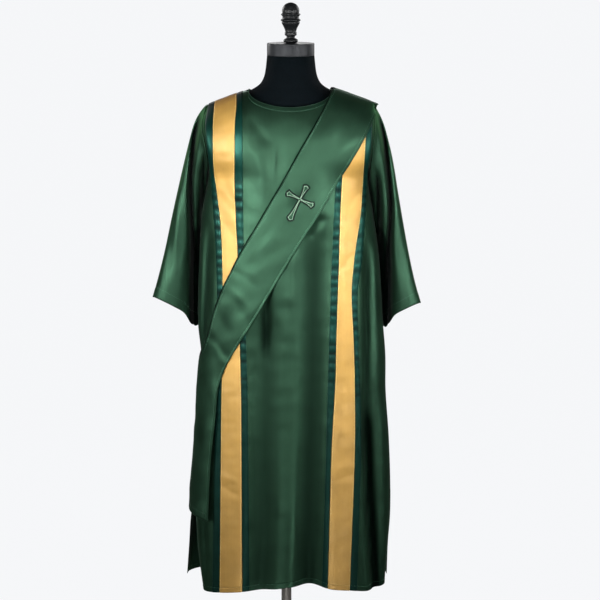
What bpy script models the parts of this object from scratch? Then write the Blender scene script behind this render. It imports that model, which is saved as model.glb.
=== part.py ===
"""Green satin dalmatic with its deacon's stole, worn on a limbless dress form.

Metres, +Z up. The front faces -Y and the wearer's right is at -X. The origin is the
centre of the base's underside, on the floor. Each piece that a maker would cut and sew
is one thin solid; the form inside is a turned finial, a cap, a padded bust and a stand.
"""
import math
from collections import namedtuple

import bpy
import bmesh
from mathutils import Vector

COLLECTION = "dalmatic_on_dress_form"

# Driving dimensions
GAP = 0.0003            # between pieces that are sewn or rest together
PANEL_WALL = 0.0015     # satin with its interlining
BAND_WALL = 0.0011      # gold satin and ribbon
STOLE_WALL = 0.0022     # two layers of satin
STOLE_LIFT = 0.0062     # from the panels' inner side to the stole's inner side
FORM_X = 0.0115         # the bust and what it wears sit this far to +X of the pole
SECTION_POWER = 2.4     # squareness of the body's flattened oval section
OVERHANG = 0.35         # metres of straight reach for each unit of angle past the side

NECK_Z = 1.4525         # where the neckline meets the shoulder seam
NECK_RIGHT, NECK_LEFT = 0.1034, 0.1009
NECK_DROP_FRONT, NECK_DROP_BACK = 0.037, 0.016
NECK_POWER = 1.9        # squareness of the neckline's curve
SHOULDER_SLOPE = 0.365
SHOULDER_ROUND = 0.16   # height over which the cloth rolls off the shoulder
SHOULDER_POWER = 2.8
UNDERARM_Z = 1.23
SLIT_TOP_Z = 0.45
NECK_BAND_ROWS = 2      # the band takes the panel's first two rows, 10 mm

FRONT, BACK = -1, 1     # side of the y = 0 plane that a panel hangs on

# Half widths of the body at the seams, from the shoulder point to the front hem
Side = namedtuple("Side", "z right left")
SIDES = [
    Side(1.4158, 0.2040, 0.2010), Side(1.3700, 0.2150, 0.2040), Side(1.2850, 0.2010, 0.1955),
    Side(1.2300, 0.2050, 0.1905), Side(1.1490, 0.2190, 0.2030), Side(1.0400, 0.2265, 0.2180),
    Side(0.8720, 0.2305, 0.2290), Side(0.7900, 0.2230, 0.2355), Side(0.7000, 0.2280, 0.2365),
    Side(0.5800, 0.2320, 0.2450), Side(0.4500, 0.2375, 0.2495), Side(0.3800, 0.2370, 0.2475),
    Side(0.3000, 0.2320, 0.2405), Side(0.2000, 0.2185, 0.2330),
]

# Depth of the body from the side seams' plane
Depth = namedtuple("Depth", "z front back")
DEPTHS = [
    Depth(1.42, 0.118, 0.104), Depth(1.23, 0.126, 0.114), Depth(1.00, 0.132, 0.124),
    Depth(0.80, 0.135, 0.136), Depth(0.60, 0.138, 0.142), Depth(0.40, 0.142, 0.146),
    Depth(0.20, 0.146, 0.150),
]

# How far the armhole's edge stands off the side seams' plane, then the slit's edges,
# and how far the back panel's slit edges flare outside the front's
Edge = namedtuple("Edge", "z front back flare_right flare_left")
EDGES = [
    Edge(1.416, 0.060, 0.056, 0, 0), Edge(1.370, 0.076, 0.070, 0, 0),
    Edge(1.320, 0.080, 0.074, 0, 0), Edge(1.280, 0.066, 0.062, 0, 0),
    Edge(1.250, 0.040, 0.038, 0, 0), Edge(1.230, 0, 0, 0, 0), Edge(0.450, 0, 0, 0, 0),
    Edge(0.380, 0.016, 0.008, 0.014, 0.002), Edge(0.300, 0.034, 0.020, 0.025, 0.004),
    Edge(0.200, 0.052, 0.032, 0.046, 0.009),
]

# Edges of the gold bands and their ribbons, as distances from the centre line
Band = namedtuple("Band", "z outer gold_out gold_in inner")
RIGHT_BAND = [
    Band(1.4160, 0.2015, 0.1865, 0.1320, 0.1180), Band(1.3750, 0.2070, 0.1890, 0.1355, 0.1175),
    Band(1.2600, 0.1965, 0.1865, 0.1365, 0.1170), Band(1.1600, 0.1890, 0.1735, 0.1343, 0.1160),
    Band(1.0500, 0.1820, 0.1670, 0.1290, 0.1150), Band(0.8500, 0.1800, 0.1665, 0.1250, 0.1100),
    Band(0.6700, 0.1860, 0.1705, 0.1217, 0.1064), Band(0.2000, 0.1950, 0.1765, 0.1212, 0.1038),
]
LEFT_BAND = [
    Band(1.4160, 0.1990, 0.1850, 0.1310, 0.1170), Band(1.3400, 0.1960, 0.1820, 0.1290, 0.1150),
    Band(1.2550, 0.1875, 0.1768, 0.1254, 0.1110), Band(1.1600, 0.1825, 0.1705, 0.1210, 0.1060),
    Band(1.0450, 0.1745, 0.1549, 0.1184, 0.1020), Band(0.9600, 0.1635, 0.1484, 0.1156, 0.0990),
    Band(0.8500, 0.1660, 0.1535, 0.1126, 0.0960), Band(0.7500, 0.1690, 0.1572, 0.1101, 0.0930),
    Band(0.5650, 0.1725, 0.1577, 0.1011, 0.0885), Band(0.2000, 0.1640, 0.1456, 0.0921, 0.0780),
]

# Main troughs: centre line from top to bottom, half width and depth
Fold = namedtuple("Fold", "x_top z_top x_end z_end reach depth")
FOLDS = {
    FRONT: [
        Fold(0.062, 1.150, 0.040, 0.150, 0.034, 0.030),
        Fold(-0.055, 0.820, -0.074, 0.150, 0.034, 0.022),
        Fold(0.193, 1.150, 0.187, 0.650, 0.028, 0.040),
        Fold(0.196, 0.680, 0.224, 0.150, 0.024, 0.052),
        Fold(-0.196, 1.170, -0.194, 0.830, 0.030, 0.036),
        Fold(-0.006, 0.900, -0.020, 0.150, 0.022, 0.010),
    ],
    BACK: [
        Fold(-0.066, 1.050, -0.086, 0.150, 0.036, 0.028),
        Fold(0.020, 0.920, 0.030, 0.150, 0.032, 0.022),
        Fold(0.150, 0.830, 0.175, 0.150, 0.030, 0.034),
        Fold(0.190, 1.170, 0.185, 0.800, 0.028, 0.034),
        Fold(-0.192, 1.150, -0.205, 0.620, 0.028, 0.034),
    ],
}
FOLD_FADE = 0.12        # height over which a trough deepens from nothing

# Hem heights across the front; the back hem is level
Hem = namedtuple("Hem", "x z")
FRONT_HEM = [Hem(-0.220, 0.202), Hem(-0.120, 0.2135), Hem(-0.030, 0.221), Hem(0.050, 0.2315),
             Hem(0.100, 0.2215), Hem(0.145, 0.2165), Hem(0.200, 0.211), Hem(0.240, 0.218)]
BACK_HEM_Z = 0.219

# Rows of the panels: drops below the top edge, then level rows down to the hem
TOP_DROPS = (0, 0.003, 0.010, 0.025, 0.050)
LEVELS = (1.330, 1.290, 1.258, UNDERARM_Z, 1.170, 1.100, 1.020, 0.940, 0.860, 0.790, 0.710,
          0.620, 0.530, SLIT_TOP_Z, 0.380, 0.300)
# Columns of the panels between the inner ribbons, at the neckline's height
CENTRE_X = (-NECK_RIGHT, -0.096, -0.078, -0.042, 0.0, 0.042, 0.077, 0.094, NECK_LEFT)
SIDE_STEPS = 4
GOLD_STEPS = 2

# Sleeves: the outer line from the shoulder to the cuff, the height of the inner line from
# the underarm to the cuff, the half depth between them, and how far the inner line hangs
# behind the side seams' plane
Ring = namedtuple("Ring", "outer_x outer_z inner_z depth behind")
SLEEVES = {
    "sleeve_right": (-1, [
        Ring(0.2060, 1.4160, 1.2290, 0.066, 0.000), Ring(0.2330, 1.3880, 1.2080, 0.066, 0.004),
        Ring(0.2440, 1.3500, 1.1820, 0.064, 0.022), Ring(0.2610, 1.2830, 1.1320, 0.061, 0.040),
        Ring(0.2790, 1.2060, 1.0760, 0.058, 0.046), Ring(0.2960, 1.1300, 1.0220, 0.056, 0.048),
        Ring(0.3120, 1.0550, 0.9680, 0.055, 0.048), Ring(0.3290, 0.9870, 0.9160, 0.055, 0.048),
        Ring(0.3438, 0.9348, 0.8660, 0.055, 0.048),
    ]),
    "sleeve_left": (1, [
        Ring(0.2030, 1.4160, 1.2270, 0.066, 0.000), Ring(0.2220, 1.3900, 1.2060, 0.066, 0.004),
        Ring(0.2340, 1.3520, 1.1800, 0.064, 0.022), Ring(0.2510, 1.2830, 1.1300, 0.061, 0.040),
        Ring(0.2650, 1.2000, 1.0740, 0.058, 0.046), Ring(0.2780, 1.1240, 1.0200, 0.056, 0.048),
        Ring(0.2930, 1.0430, 0.9680, 0.055, 0.048), Ring(0.3080, 0.9750, 0.9140, 0.055, 0.048),
        Ring(0.3235, 0.9200, 0.8640, 0.055, 0.048),
    ]),
}
SLEEVE_CLEAR = 0.0024   # from the body's half width to the sleeve's inner line
CUFF_TILT = 0.018       # how far the cuff's front lies above its middle, and its back below
SLEEVE_TROUGH = (1.75, 0.45, 0.012)   # angle from the top, angular reach and depth, in front
ARMHOLE_BLEND = 2       # rings over which the armhole's outline turns into an oval

# Stole: its two edges in front elevation, from the shoulder seam to the hip
Strip = namedtuple("Strip", "upper_x upper_z lower_x lower_z")
STOLE_ROWS = [
    Strip(0.1015, 1.4520, 0.2119, 1.4120), Strip(0.0990, 1.4480, 0.2100, 1.4080),
    Strip(0.0950, 1.4400, 0.2065, 1.3990), Strip(0.0850, 1.4215, 0.1985, 1.3810),
    Strip(0.0660, 1.3890, 0.1800, 1.3440), Strip(0.0440, 1.3520, 0.1530, 1.2980),
    Strip(0.0217, 1.3154, 0.1252, 1.2553), Strip(-0.0060, 1.2660, 0.0980, 1.2070),
    Strip(-0.0330, 1.2180, 0.0700, 1.1580), Strip(-0.0620, 1.1680, 0.0400, 1.1110),
    Strip(-0.0910, 1.1180, 0.0110, 1.0650), Strip(-0.1196, 1.0695, -0.0170, 1.0190),
    Strip(-0.1440, 1.0190, -0.0440, 0.9730), Strip(-0.1670, 0.9700, -0.0700, 0.9270),
    Strip(-0.1840, 0.9230, -0.0950, 0.8840), Strip(-0.1960, 0.8740, -0.1210, 0.8430),
    Strip(-0.2080, 0.8280, -0.1400, 0.8100), Strip(-0.2200, 0.7850, -0.1560, 0.7800),
]
STOLE_COLUMNS = 6

# Tails: height of each edge, where the front edge lies, and how far the tail hangs
# clear of the body
Tail = namedtuple("Tail", "side_z edge_x edge_z clear")
TAIL_ROWS = [
    Tail(0.7845, 0.1562, 0.7795, 0.0062), Tail(0.7550, 0.1650, 0.7550, 0.0064),
    Tail(0.7150, 0.1755, 0.7150, 0.0070), Tail(0.6500, 0.1810, 0.6500, 0.0080),
    Tail(0.5800, 0.1880, 0.5750, 0.0105), Tail(0.5000, 0.1930, 0.4900, 0.0130),
    Tail(0.4050, 0.1950, 0.3850, 0.0170),
]
TAIL_END_A = 0.985      # the tail's outer edge stops just short of the side
BACK_TAIL_TUCK = 0.35   # the back tail hangs closer, behind the front one

# Dress form
Bust = namedtuple("Bust", "z half_width front back")
BUST_ROWS = [
    Bust(1.5375, 0.0585, 0.0585, 0.0585), Bust(1.5050, 0.0620, 0.0600, 0.0600),
    Bust(1.4860, 0.0660, 0.0600, 0.0600), Bust(1.4710, 0.0735, 0.0605, 0.0600),
    Bust(1.4620, 0.0830, 0.0610, 0.0600), Bust(1.4560, 0.0930, 0.0620, 0.0600),
    Bust(1.4480, 0.1070, 0.0640, 0.0600), Bust(1.4380, 0.1300, 0.0660, 0.0610),
    Bust(1.4270, 0.1550, 0.0690, 0.0630), Bust(1.4140, 0.1740, 0.0720, 0.0660),
    Bust(1.3950, 0.1850, 0.0780, 0.0710), Bust(1.3600, 0.1900, 0.0900, 0.0800),
    Bust(1.3100, 0.1880, 0.1020, 0.0900), Bust(1.2500, 0.1740, 0.1100, 0.0960),
    Bust(1.1800, 0.1640, 0.1110, 0.0960), Bust(1.1000, 0.1530, 0.1020, 0.0880),
    Bust(1.0200, 0.1400, 0.0940, 0.0840), Bust(0.9400, 0.1520, 0.0990, 0.0960),
    Bust(0.8600, 0.1700, 0.1060, 0.1120), Bust(0.8000, 0.1740, 0.1060, 0.1140),
    Bust(0.7900, 0.1690, 0.1010, 0.1090),
]
BUST_SIDES = 28
CAP_RADIUS, CAP_HEIGHT, CAP_BEVEL = 0.0587, 0.0305, 0.0012
POLE_RADIUS = 0.0126
POLE_BOTTOM_Z = 0.030
BASE_RADIUS, BASE_HEIGHT = 0.170, 0.014

Finish = namedtuple("Finish", "color roughness metallic")
GREEN = Finish((0.028, 0.105, 0.058, 1), 0.42, 0.0)
GOLD = Finish((0.66, 0.42, 0.10, 1), 0.38, 0.0)
RIBBON = Finish((0.006, 0.052, 0.042, 1), 0.30, 0.0)
JERSEY = Finish((0.008, 0.010, 0.012, 1), 0.85, 0.0)
TURNED = Finish((0.012, 0.013, 0.014, 1), 0.32, 0.0)
CAP_METAL = Finish((0.060, 0.060, 0.065, 1), 0.42, 0.6)
STAND = Finish((0.200, 0.185, 0.170, 1), 0.40, 0.7)


# ---------------------------------------------------------------- reading the tables
def at(rows, key, field, value):
    """A field of a table at a key's value, on one smooth curve through its rows."""
    keys = [getattr(row, key) for row in rows]
    ends = [getattr(row, field) for row in rows]
    if keys[0] > keys[-1]:
        keys.reverse()
        ends.reverse()
    if value <= keys[0]:
        return ends[0]
    if value >= keys[-1]:
        return ends[-1]
    i = next(k for k in range(len(keys) - 1) if value <= keys[k + 1])

    def slope(k):
        low, high = max(k - 1, 0), min(k + 1, len(keys) - 1)
        return (ends[high] - ends[low]) / (keys[high] - keys[low])

    span = keys[i + 1] - keys[i]
    t = (value - keys[i]) / span
    return ((2 * t**3 - 3 * t**2 + 1) * ends[i] + (t**3 - 2 * t**2 + t) * span * slope(i)
            + (3 * t**2 - 2 * t**3) * ends[i + 1] + (t**3 - t**2) * span * slope(i + 1))


def blend(a, b, t):
    return a + (b - a) * t


def ease(t):
    t = min(max(t, 0.0), 1.0)
    return t * t * (3 - 2 * t)


# ---------------------------------------------------------------- the body's surface
def half_width(sign, face, z):
    side, flare = ("left", "flare_left") if sign > 0 else ("right", "flare_right")
    extra = at(EDGES, "z", flare, z) if face == BACK and z < SLIT_TOP_Z else 0.0
    return at(SIDES, "z", side, z) + extra


def edge_depth(face, z):
    if SLIT_TOP_Z <= z <= UNDERARM_Z:
        return 0.0
    return max(at(EDGES, "z", "front" if face == FRONT else "back", z), 0.0)


def shoulder_z(x):
    neck = NECK_RIGHT if x < 0 else NECK_LEFT
    return NECK_Z - SHOULDER_SLOPE * max(abs(x) - neck, 0.0)


def top_z(face, x):
    """The shoulder seam, or the neckline between the neck points."""
    s = abs(x) / (NECK_RIGHT if x < 0 else NECK_LEFT)
    if s >= 1:
        return shoulder_z(x)
    drop = NECK_DROP_FRONT if face == FRONT else NECK_DROP_BACK
    return NECK_Z - drop * (1 - s**NECK_POWER) ** (1 / NECK_POWER)


def around(sign, face, x, z):
    """Turn a distance from the centre line into the angle a: 0 in front, 1 at the side."""
    s = abs(x) / half_width(sign, face, z)
    if s >= 1:
        return 1 + (abs(x) - half_width(sign, face, z)) / OVERHANG
    return math.asin(s ** (SECTION_POWER / 2)) * 2 / math.pi


def fold_depth(face, x, z):
    total = 0.0
    for fold in FOLDS[face]:
        if z >= fold.z_top:
            continue
        t = (fold.z_top - z) / (fold.z_top - fold.z_end)
        centre = blend(fold.x_top, fold.x_end, t)
        near_end = ease((z - fold.z_end) / FOLD_FADE)
        strength = ease((fold.z_top - z) / FOLD_FADE) * near_end
        total += fold.depth * strength * math.exp(-((x - centre) / fold.reach) ** 2)
    return total


def body(face, a, z, folded=True):
    """A point of the panels' inner surface at angle a and height z."""
    sign = 1 if a > 0 else -1
    width = half_width(sign, face, z)
    turn = min(abs(a), 1.0) * math.pi / 2
    x = sign * (width * math.sin(turn) ** (2 / SECTION_POWER) + max(abs(a) - 1, 0) * OVERHANG)
    roll = min(max(shoulder_z(x) - z, 0.0) / SHOULDER_ROUND, 1.0)
    roll = (1 - (1 - roll) ** SHOULDER_POWER) ** (1 / SHOULDER_POWER)
    edge = edge_depth(face, z)
    full = at(DEPTHS, "z", "front" if face == FRONT else "back", z)
    depth = roll * (edge + (full - edge) * max(math.cos(turn), 0.0) ** (2 / SECTION_POWER))
    if folded:
        depth -= fold_depth(face, x, z) * (1 - min(abs(x) / width, 1.0) ** 8)
    return Vector((x, face * max(depth, GAP / 2), z))


# ---------------------------------------------------------------- grids and solids
def normals(grid, ring=False):
    """Unit normals of a grid of points, from each point's neighbours."""
    rows, cols = len(grid), len(grid[0])
    result = []
    for i in range(rows):
        line = []
        for j in range(cols):
            up, down = grid[max(i - 1, 0)][j], grid[min(i + 1, rows - 1)][j]
            left = grid[i][j - 1] if ring or j else grid[i][j]
            right = grid[i][(j + 1) % cols] if ring or j < cols - 1 else grid[i][j]
            line.append((down - up).cross(right - left).normalized())
        result.append(line)
    return result


def moved(grid, ways, distance):
    return [[p + n * distance for p, n in zip(row, way)] for row, way in zip(grid, ways)]


def finish(obj, look):
    mat = bpy.data.materials.new(obj.name)
    mat.use_nodes = True
    shader = mat.node_tree.nodes["Principled BSDF"]
    shader.inputs["Base Color"].default_value = look.color
    shader.inputs["Roughness"].default_value = look.roughness
    shader.inputs["Metallic"].default_value = look.metallic
    mat.diffuse_color = look.color
    obj.data.materials.append(mat)
    bpy.data.collections[COLLECTION].objects.link(obj)
    return obj


def wall(name, inner, outer, look, ring=False, at_form=True):
    """A closed sheet between two like grids, as one named object."""
    rows, cols = len(inner), len(inner[0])
    bm = bmesh.new()
    skins = [[[bm.verts.new(p) for p in row] for row in grid] for grid in (inner, outer)]
    steps = range(cols) if ring else range(cols - 1)
    for skin in skins:
        for i in range(rows - 1):
            for j in steps:
                a, b = skin[i][j], skin[i][(j + 1) % cols]
                c, d = skin[i + 1][(j + 1) % cols], skin[i + 1][j]
                bm.faces.new((a, b, c))
                bm.faces.new((a, c, d))
    low, high = skins
    borders = [([low[i][j] for j in range(cols)], [high[i][j] for j in range(cols)])
               for i in (0, rows - 1)]
    if ring:
        borders = [(a + a[:1], b + b[:1]) for a, b in borders]
    else:
        borders += [([low[i][j] for i in range(rows)], [high[i][j] for i in range(rows)])
                    for j in (0, cols - 1)]
    for near, far in borders:
        for k in range(len(near) - 1):
            bm.faces.new((near[k], near[k + 1], far[k + 1]))
            bm.faces.new((near[k], far[k + 1], far[k]))
    bmesh.ops.recalc_face_normals(bm, faces=bm.faces)
    mesh = bpy.data.meshes.new(name)
    bm.to_mesh(mesh)
    bm.free()
    mesh.shade_smooth()
    mesh.set_sharp_from_angle(angle=math.radians(50))
    obj = bpy.data.objects.new(name, mesh)
    obj.location.x = FORM_X if at_form else 0.0
    return finish(obj, look)


def keep_side(grid, face):
    """Keep a panel's points on their own side of the seams' plane."""
    for row in grid:
        for p in row:
            p.y = face * max(face * p.y, GAP / 2)


# ---------------------------------------------------------------- panels and bands
def column_edges(z):
    """Where the seams of the bands cross a height, from the wearer's right to the left."""
    fields = ("outer", "gold_out", "gold_in", "inner")
    right = [-at(RIGHT_BAND, "z", field, z) for field in fields]
    left = [at(LEFT_BAND, "z", field, z) for field in reversed(fields)]
    return right, left


def columns(face, z):
    """The angles of all the panel's columns at a height."""
    right, left = column_edges(z)
    top_right, top_left = column_edges(NECK_Z)
    inner = [blend(right[-1], left[0], (x - top_right[-1]) / (top_left[0] - top_right[-1]))
             for x in CENTRE_X]
    gold_right = [blend(right[1], right[2], k / GOLD_STEPS) for k in range(GOLD_STEPS + 1)]
    gold_left = [blend(left[1], left[2], k / GOLD_STEPS) for k in range(GOLD_STEPS + 1)]
    xs = [right[0]] + gold_right + [right[3]] + inner + [left[0]] + gold_left + [left[3]]
    angles = [math.copysign(min(around(math.copysign(1, x), face, x, z), 0.999), x) for x in xs]
    first, last = angles[0], angles[-1]
    sides = [k / SIDE_STEPS for k in range(SIDE_STEPS)]
    return ([blend(-1.0, first, t) for t in sides] + angles
            + [blend(1.0, last, t) for t in reversed(sides)])


def hem_z(face, x):
    return at(FRONT_HEM, "x", "z", x) if face == FRONT else BACK_HEM_Z


def panel_grid(face):
    """Rows of points from the neckline and shoulders to the hem."""
    tops = []
    for a in columns(face, shoulder_z(max(SIDES[0].right, SIDES[0].left))):
        x = body(face, a, SIDES[0].z).x
        tops.append((x, top_z(face, x)))
    grid = []
    for drop in TOP_DROPS:
        grid.append([body(face, columns(face, z - drop)[j], z - drop)
                     for j, (x, z) in enumerate(tops)])
    for z in LEVELS:
        grid.append([body(face, a, z) for a in columns(face, z)])
    hem = [body(face, a, BACK_HEM_Z).x for a in columns(face, BACK_HEM_Z)]
    grid.append([body(face, columns(face, hem_z(face, x))[j], hem_z(face, x))
                 for j, x in enumerate(hem)])
    return grid


def outward(face, grid):
    """Normals of a panel's grid, whose rows run from the wearer's right to the left."""
    ways = normals(grid)
    return ways if face == FRONT else [[-n for n in row] for row in ways]


def make_panel(face, name):
    grid = panel_grid(face)
    ways = outward(face, grid)
    outer = moved(grid, ways, PANEL_WALL)
    keep_side(outer, face)
    wall(name, grid, outer, GREEN)
    return grid, ways


def strip_of(grid, ways, face, first, last, rows, depth):
    """Part of a panel between two columns, moved out, with its edges a seam's gap in."""
    lifted = moved(grid, ways, depth)
    result = []
    for row in lifted[:rows]:
        line = [p.copy() for p in row[first:last + 1]]
        line[0] += (line[1] - line[0]).normalized() * GAP / 2
        line[-1] += (line[-2] - line[-1]).normalized() * GAP / 2
        result.append(line)
    keep_side(result, face)
    return result


def make_band(name, grid, ways, face, first, last, look, rows=None):
    rows = rows or len(grid)
    base = PANEL_WALL + GAP
    wall(name, strip_of(grid, ways, face, first, last, rows, base),
         strip_of(grid, ways, face, first, last, rows, base + BAND_WALL), look)


def make_bands(grid, ways, face, place):
    start = SIDE_STEPS
    gold = GOLD_STEPS
    middle = start + 2 + gold + len(CENTRE_X) + 1
    cuts = {
        "right": (start, start + 1, start + 1 + gold, start + 2 + gold),
        "left": (middle + 2 + gold, middle + 1 + gold, middle + 1, middle),
    }
    for side, (outer, gold_out, gold_in, inner) in cuts.items():
        for kind, a, b, look in (("ribbon_{}_{}_outer", outer, gold_out, RIBBON),
                                 ("gold_{}_{}", gold_out, gold_in, GOLD),
                                 ("ribbon_{}_{}_inner", gold_in, inner, RIBBON)):
            make_band(kind.format(place, side), grid, ways, face, min(a, b), max(a, b), look)
    first = start + 3 + gold
    make_band("neck_band_" + place, grid, ways, face, first, first + len(CENTRE_X) - 1,
              GREEN, NECK_BAND_ROWS + 1)


# ---------------------------------------------------------------- sleeves
def sleeve_grid(sign, rings):
    """Rings of points; the first follows the armhole's edges, row by row."""
    rows = [SIDES[0].z - drop for drop in TOP_DROPS] + list(LEVELS[:LEVELS.index(UNDERARM_Z) + 1])
    loop = [(FRONT, z) for z in rows] + [(BACK, z) for z in reversed(rows[1:-1])]
    count = len(rows) - 1
    grid = []
    for k, ring in enumerate(rings):
        line = []
        for j, (face, z) in enumerate(loop):
            angle = math.pi * j / count
            across, deep = math.cos(angle), math.sin(angle)
            t = k / (len(rings) - 1)
            trough_at, reach, trough = SLEEVE_TROUGH
            dent = trough * ease(t * 3) * math.exp(-((angle - trough_at) / reach) ** 2)
            share = (1 - across) / 2
            inner_x = (half_width(sign, BACK, ring.inner_z)
                       + SLEEVE_CLEAR * (1 + 2 * (1 - ease(t * 3))))
            free = Vector((sign * blend(ring.outer_x, inner_x, share),
                           ring.behind * share - (ring.depth - dent) * deep,
                           blend(ring.outer_z, ring.inner_z, share) + CUFF_TILT * deep * t * t))
            edge = body(face, sign * 1.0, z, folded=False)
            spread = GAP + PANEL_WALL * (1 + max(-across, 0.0))
            seam = Vector((edge.x + sign * spread, edge.y if abs(deep) > 1e-6 else 0.0, z))
            line.append(seam.lerp(free, ease(k / ARMHOLE_BLEND)))
        grid.append(line)
    return grid


def make_sleeve(name, sign, rings):
    grid = sleeve_grid(sign, rings)
    ways = normals(grid, ring=True)
    if sign > 0:
        ways = [[-n for n in row] for row in ways]
    outer = moved(grid, ways, PANEL_WALL)
    for p, q in zip(grid[0], outer[0]):
        q.x = sign * max(sign * q.x, sign * p.x)
    wall(name, grid, outer, GREEN, ring=True)


# ---------------------------------------------------------------- stole
def surface_normal(face, a, z):
    step = 0.002
    base = body(face, a, z, folded=False)
    over = body(face, a + step, z, folded=False)
    down = body(face, a, z - step, folded=False)
    way = (down - base).cross(over - base).normalized()
    return way if face == FRONT else -way


def stole_point(face, a, z, lift):
    return body(face, a, z, folded=False) + surface_normal(face, a, z) * lift


def stole_grid(face, lift):
    grid = []
    for row in STOLE_ROWS:
        line = []
        for j in range(STOLE_COLUMNS):
            t = j / (STOLE_COLUMNS - 1)
            x, z = blend(row.upper_x, row.lower_x, t), blend(row.upper_z, row.lower_z, t)
            z = min(z, shoulder_z(x))
            sign = 1 if x > 0 else -1
            line.append(stole_point(face, sign * around(sign, face, x, z), z, lift))
        grid.append(line)
    keep_side(grid, face)
    return grid


def tail_grid(face, extra):
    grid = []
    tuck = BACK_TAIL_TUCK if face == BACK else 1.0
    for row in TAIL_ROWS:
        line = []
        near = around(-1, face, row.edge_x, row.edge_z)
        lift = STOLE_LIFT + (row.clear - STOLE_LIFT) * tuck + extra
        for j in range(STOLE_COLUMNS):
            t = j / (STOLE_COLUMNS - 1)
            z = blend(row.side_z, row.edge_z, t)
            line.append(stole_point(face, -blend(TAIL_END_A, near, t), z, lift))
        grid.append(line)
    keep_side(grid, face)
    return grid


def make_stole(face, name):
    wall(name, stole_grid(face, STOLE_LIFT), stole_grid(face, STOLE_LIFT + STOLE_WALL), GREEN)
    wall(name + "_tail", tail_grid(face, 0.0), tail_grid(face, STOLE_WALL), GREEN)


# ---------------------------------------------------------------- dress form
def turned(name, profile, look, steps, x=0.0):
    """A round piece from its outer profile, listed from top to bottom as radius, height."""
    mesh = bpy.data.meshes.new(name)
    points = [(radius, 0.0, z) for radius, z in profile]
    mesh.from_pydata(points, [(i, i + 1) for i in range(len(points) - 1)], [])
    obj = bpy.data.objects.new(name, mesh)
    spin = obj.modifiers.new("turn", "SCREW")
    spin.axis = "Z"
    spin.steps = spin.render_steps = steps
    spin.use_merge_vertices = True
    spin.merge_threshold = 0.0001
    obj.location.x = x
    return finish(obj, look)


def arc(radius_at, z_at, radius, start, end, count):
    """Points on an arc of a profile, angles in degrees from the horizontal."""
    angles = [math.radians(blend(start, end, k / count)) for k in range(count + 1)]
    return [(radius_at + radius * math.cos(t), z_at + radius * math.sin(t)) for t in angles]


def make_finial():
    foot = BUST_ROWS[0].z + GAP + CAP_HEIGHT + GAP
    egg_z, egg_r, egg_h = foot + 0.0790, 0.0215, 0.0205
    egg = [(egg_r * math.sin(t), egg_z + egg_h * math.cos(t))
           for t in (math.pi / 2 * k / 7 for k in range(8))]
    cup = [(blend(0.0228, 0.0140, ease(k / 4) ** 0.8), foot + blend(0.0510, 0.0285, k / 4))
           for k in range(5)]
    profile = (egg + arc(0.0218, foot + 0.0700, 0.0024, 60, -60, 4)
               + [(0.0212, foot + 0.0652)] + arc(0.0222, foot + 0.0562, 0.0024, 60, -60, 4)
               + cup + [(0.0148, foot + 0.0265), (0.0148, foot + 0.0195),
                        (0.0106, foot + 0.0160), (0.0104, foot + 0.0135)]
               + arc(0.0128, foot + 0.0052, 0.0052, 70, -70, 5) + [(0.0125, foot), (0.0, foot)])
    turned("finial", profile, TURNED, 24, FORM_X)


def make_cap():
    z = BUST_ROWS[0].z + GAP
    top = z + CAP_HEIGHT
    profile = [(0.0, top), (CAP_RADIUS - CAP_BEVEL, top), (CAP_RADIUS, top - CAP_BEVEL),
               (CAP_RADIUS, z + CAP_BEVEL), (CAP_RADIUS - CAP_BEVEL, z), (0.0, z)]
    turned("neck_cap", profile, CAP_METAL, 40, FORM_X)


def make_bust():
    """Oval sections lofted from the neck to the hips, closed at both ends."""
    bm = bmesh.new()
    rings = []
    for row in BUST_ROWS:
        ring = []
        for k in range(BUST_SIDES):
            t = 2 * math.pi * k / BUST_SIDES
            deep = row.back if math.sin(t) > 0 else row.front
            ring.append(bm.verts.new((row.half_width * math.cos(t), deep * math.sin(t), row.z)))
        rings.append(ring)
    for top, low in zip(rings, rings[1:]):
        for k in range(BUST_SIDES):
            n = (k + 1) % BUST_SIDES
            bm.faces.new((top[k], top[n], low[n], low[k]))
    bm.faces.new(rings[0])
    bm.faces.new(rings[-1])
    bmesh.ops.recalc_face_normals(bm, faces=bm.faces)
    mesh = bpy.data.meshes.new("bust")
    bm.to_mesh(mesh)
    bm.free()
    mesh.shade_smooth()
    mesh.set_sharp_from_angle(angle=math.radians(50))
    obj = bpy.data.objects.new("bust", mesh)
    obj.location.x = FORM_X
    finish(obj, JERSEY)


def make_stand():
    top = BUST_ROWS[-1].z - GAP
    turned("pole", [(0.0, top), (POLE_RADIUS, top), (POLE_RADIUS, POLE_BOTTOM_Z),
                    (0.0, POLE_BOTTOM_Z)], STAND, 24)
    collar = POLE_BOTTOM_Z - GAP
    turned("base", [(0.0, collar), (0.026, collar), (0.029, collar - 0.003),
                    (0.030, BASE_HEIGHT + 0.002), (0.034, BASE_HEIGHT),
                    (BASE_RADIUS - 0.004, BASE_HEIGHT - 0.003), (BASE_RADIUS, BASE_HEIGHT - 0.007),
                    (BASE_RADIUS, 0.002), (BASE_RADIUS - 0.002, 0.0), (0.0, 0.0)], STAND, 48)


# ---------------------------------------------------------------- the whole object
def main():
    for obj in list(bpy.data.objects):
        bpy.data.objects.remove(obj, do_unlink=True)
    collection = bpy.data.collections.new(COLLECTION)
    bpy.context.scene.collection.children.link(collection)

    for face, place in ((FRONT, "front"), (BACK, "back")):
        grid, ways = make_panel(face, place + "_panel")
        make_bands(grid, ways, face, place)
        make_stole(face, "stole_" + place)
    for name, (sign, rings) in SLEEVES.items():
        make_sleeve(name, sign, rings)
    make_finial()
    make_cap()
    make_bust()
    make_stand()


main()
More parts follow.
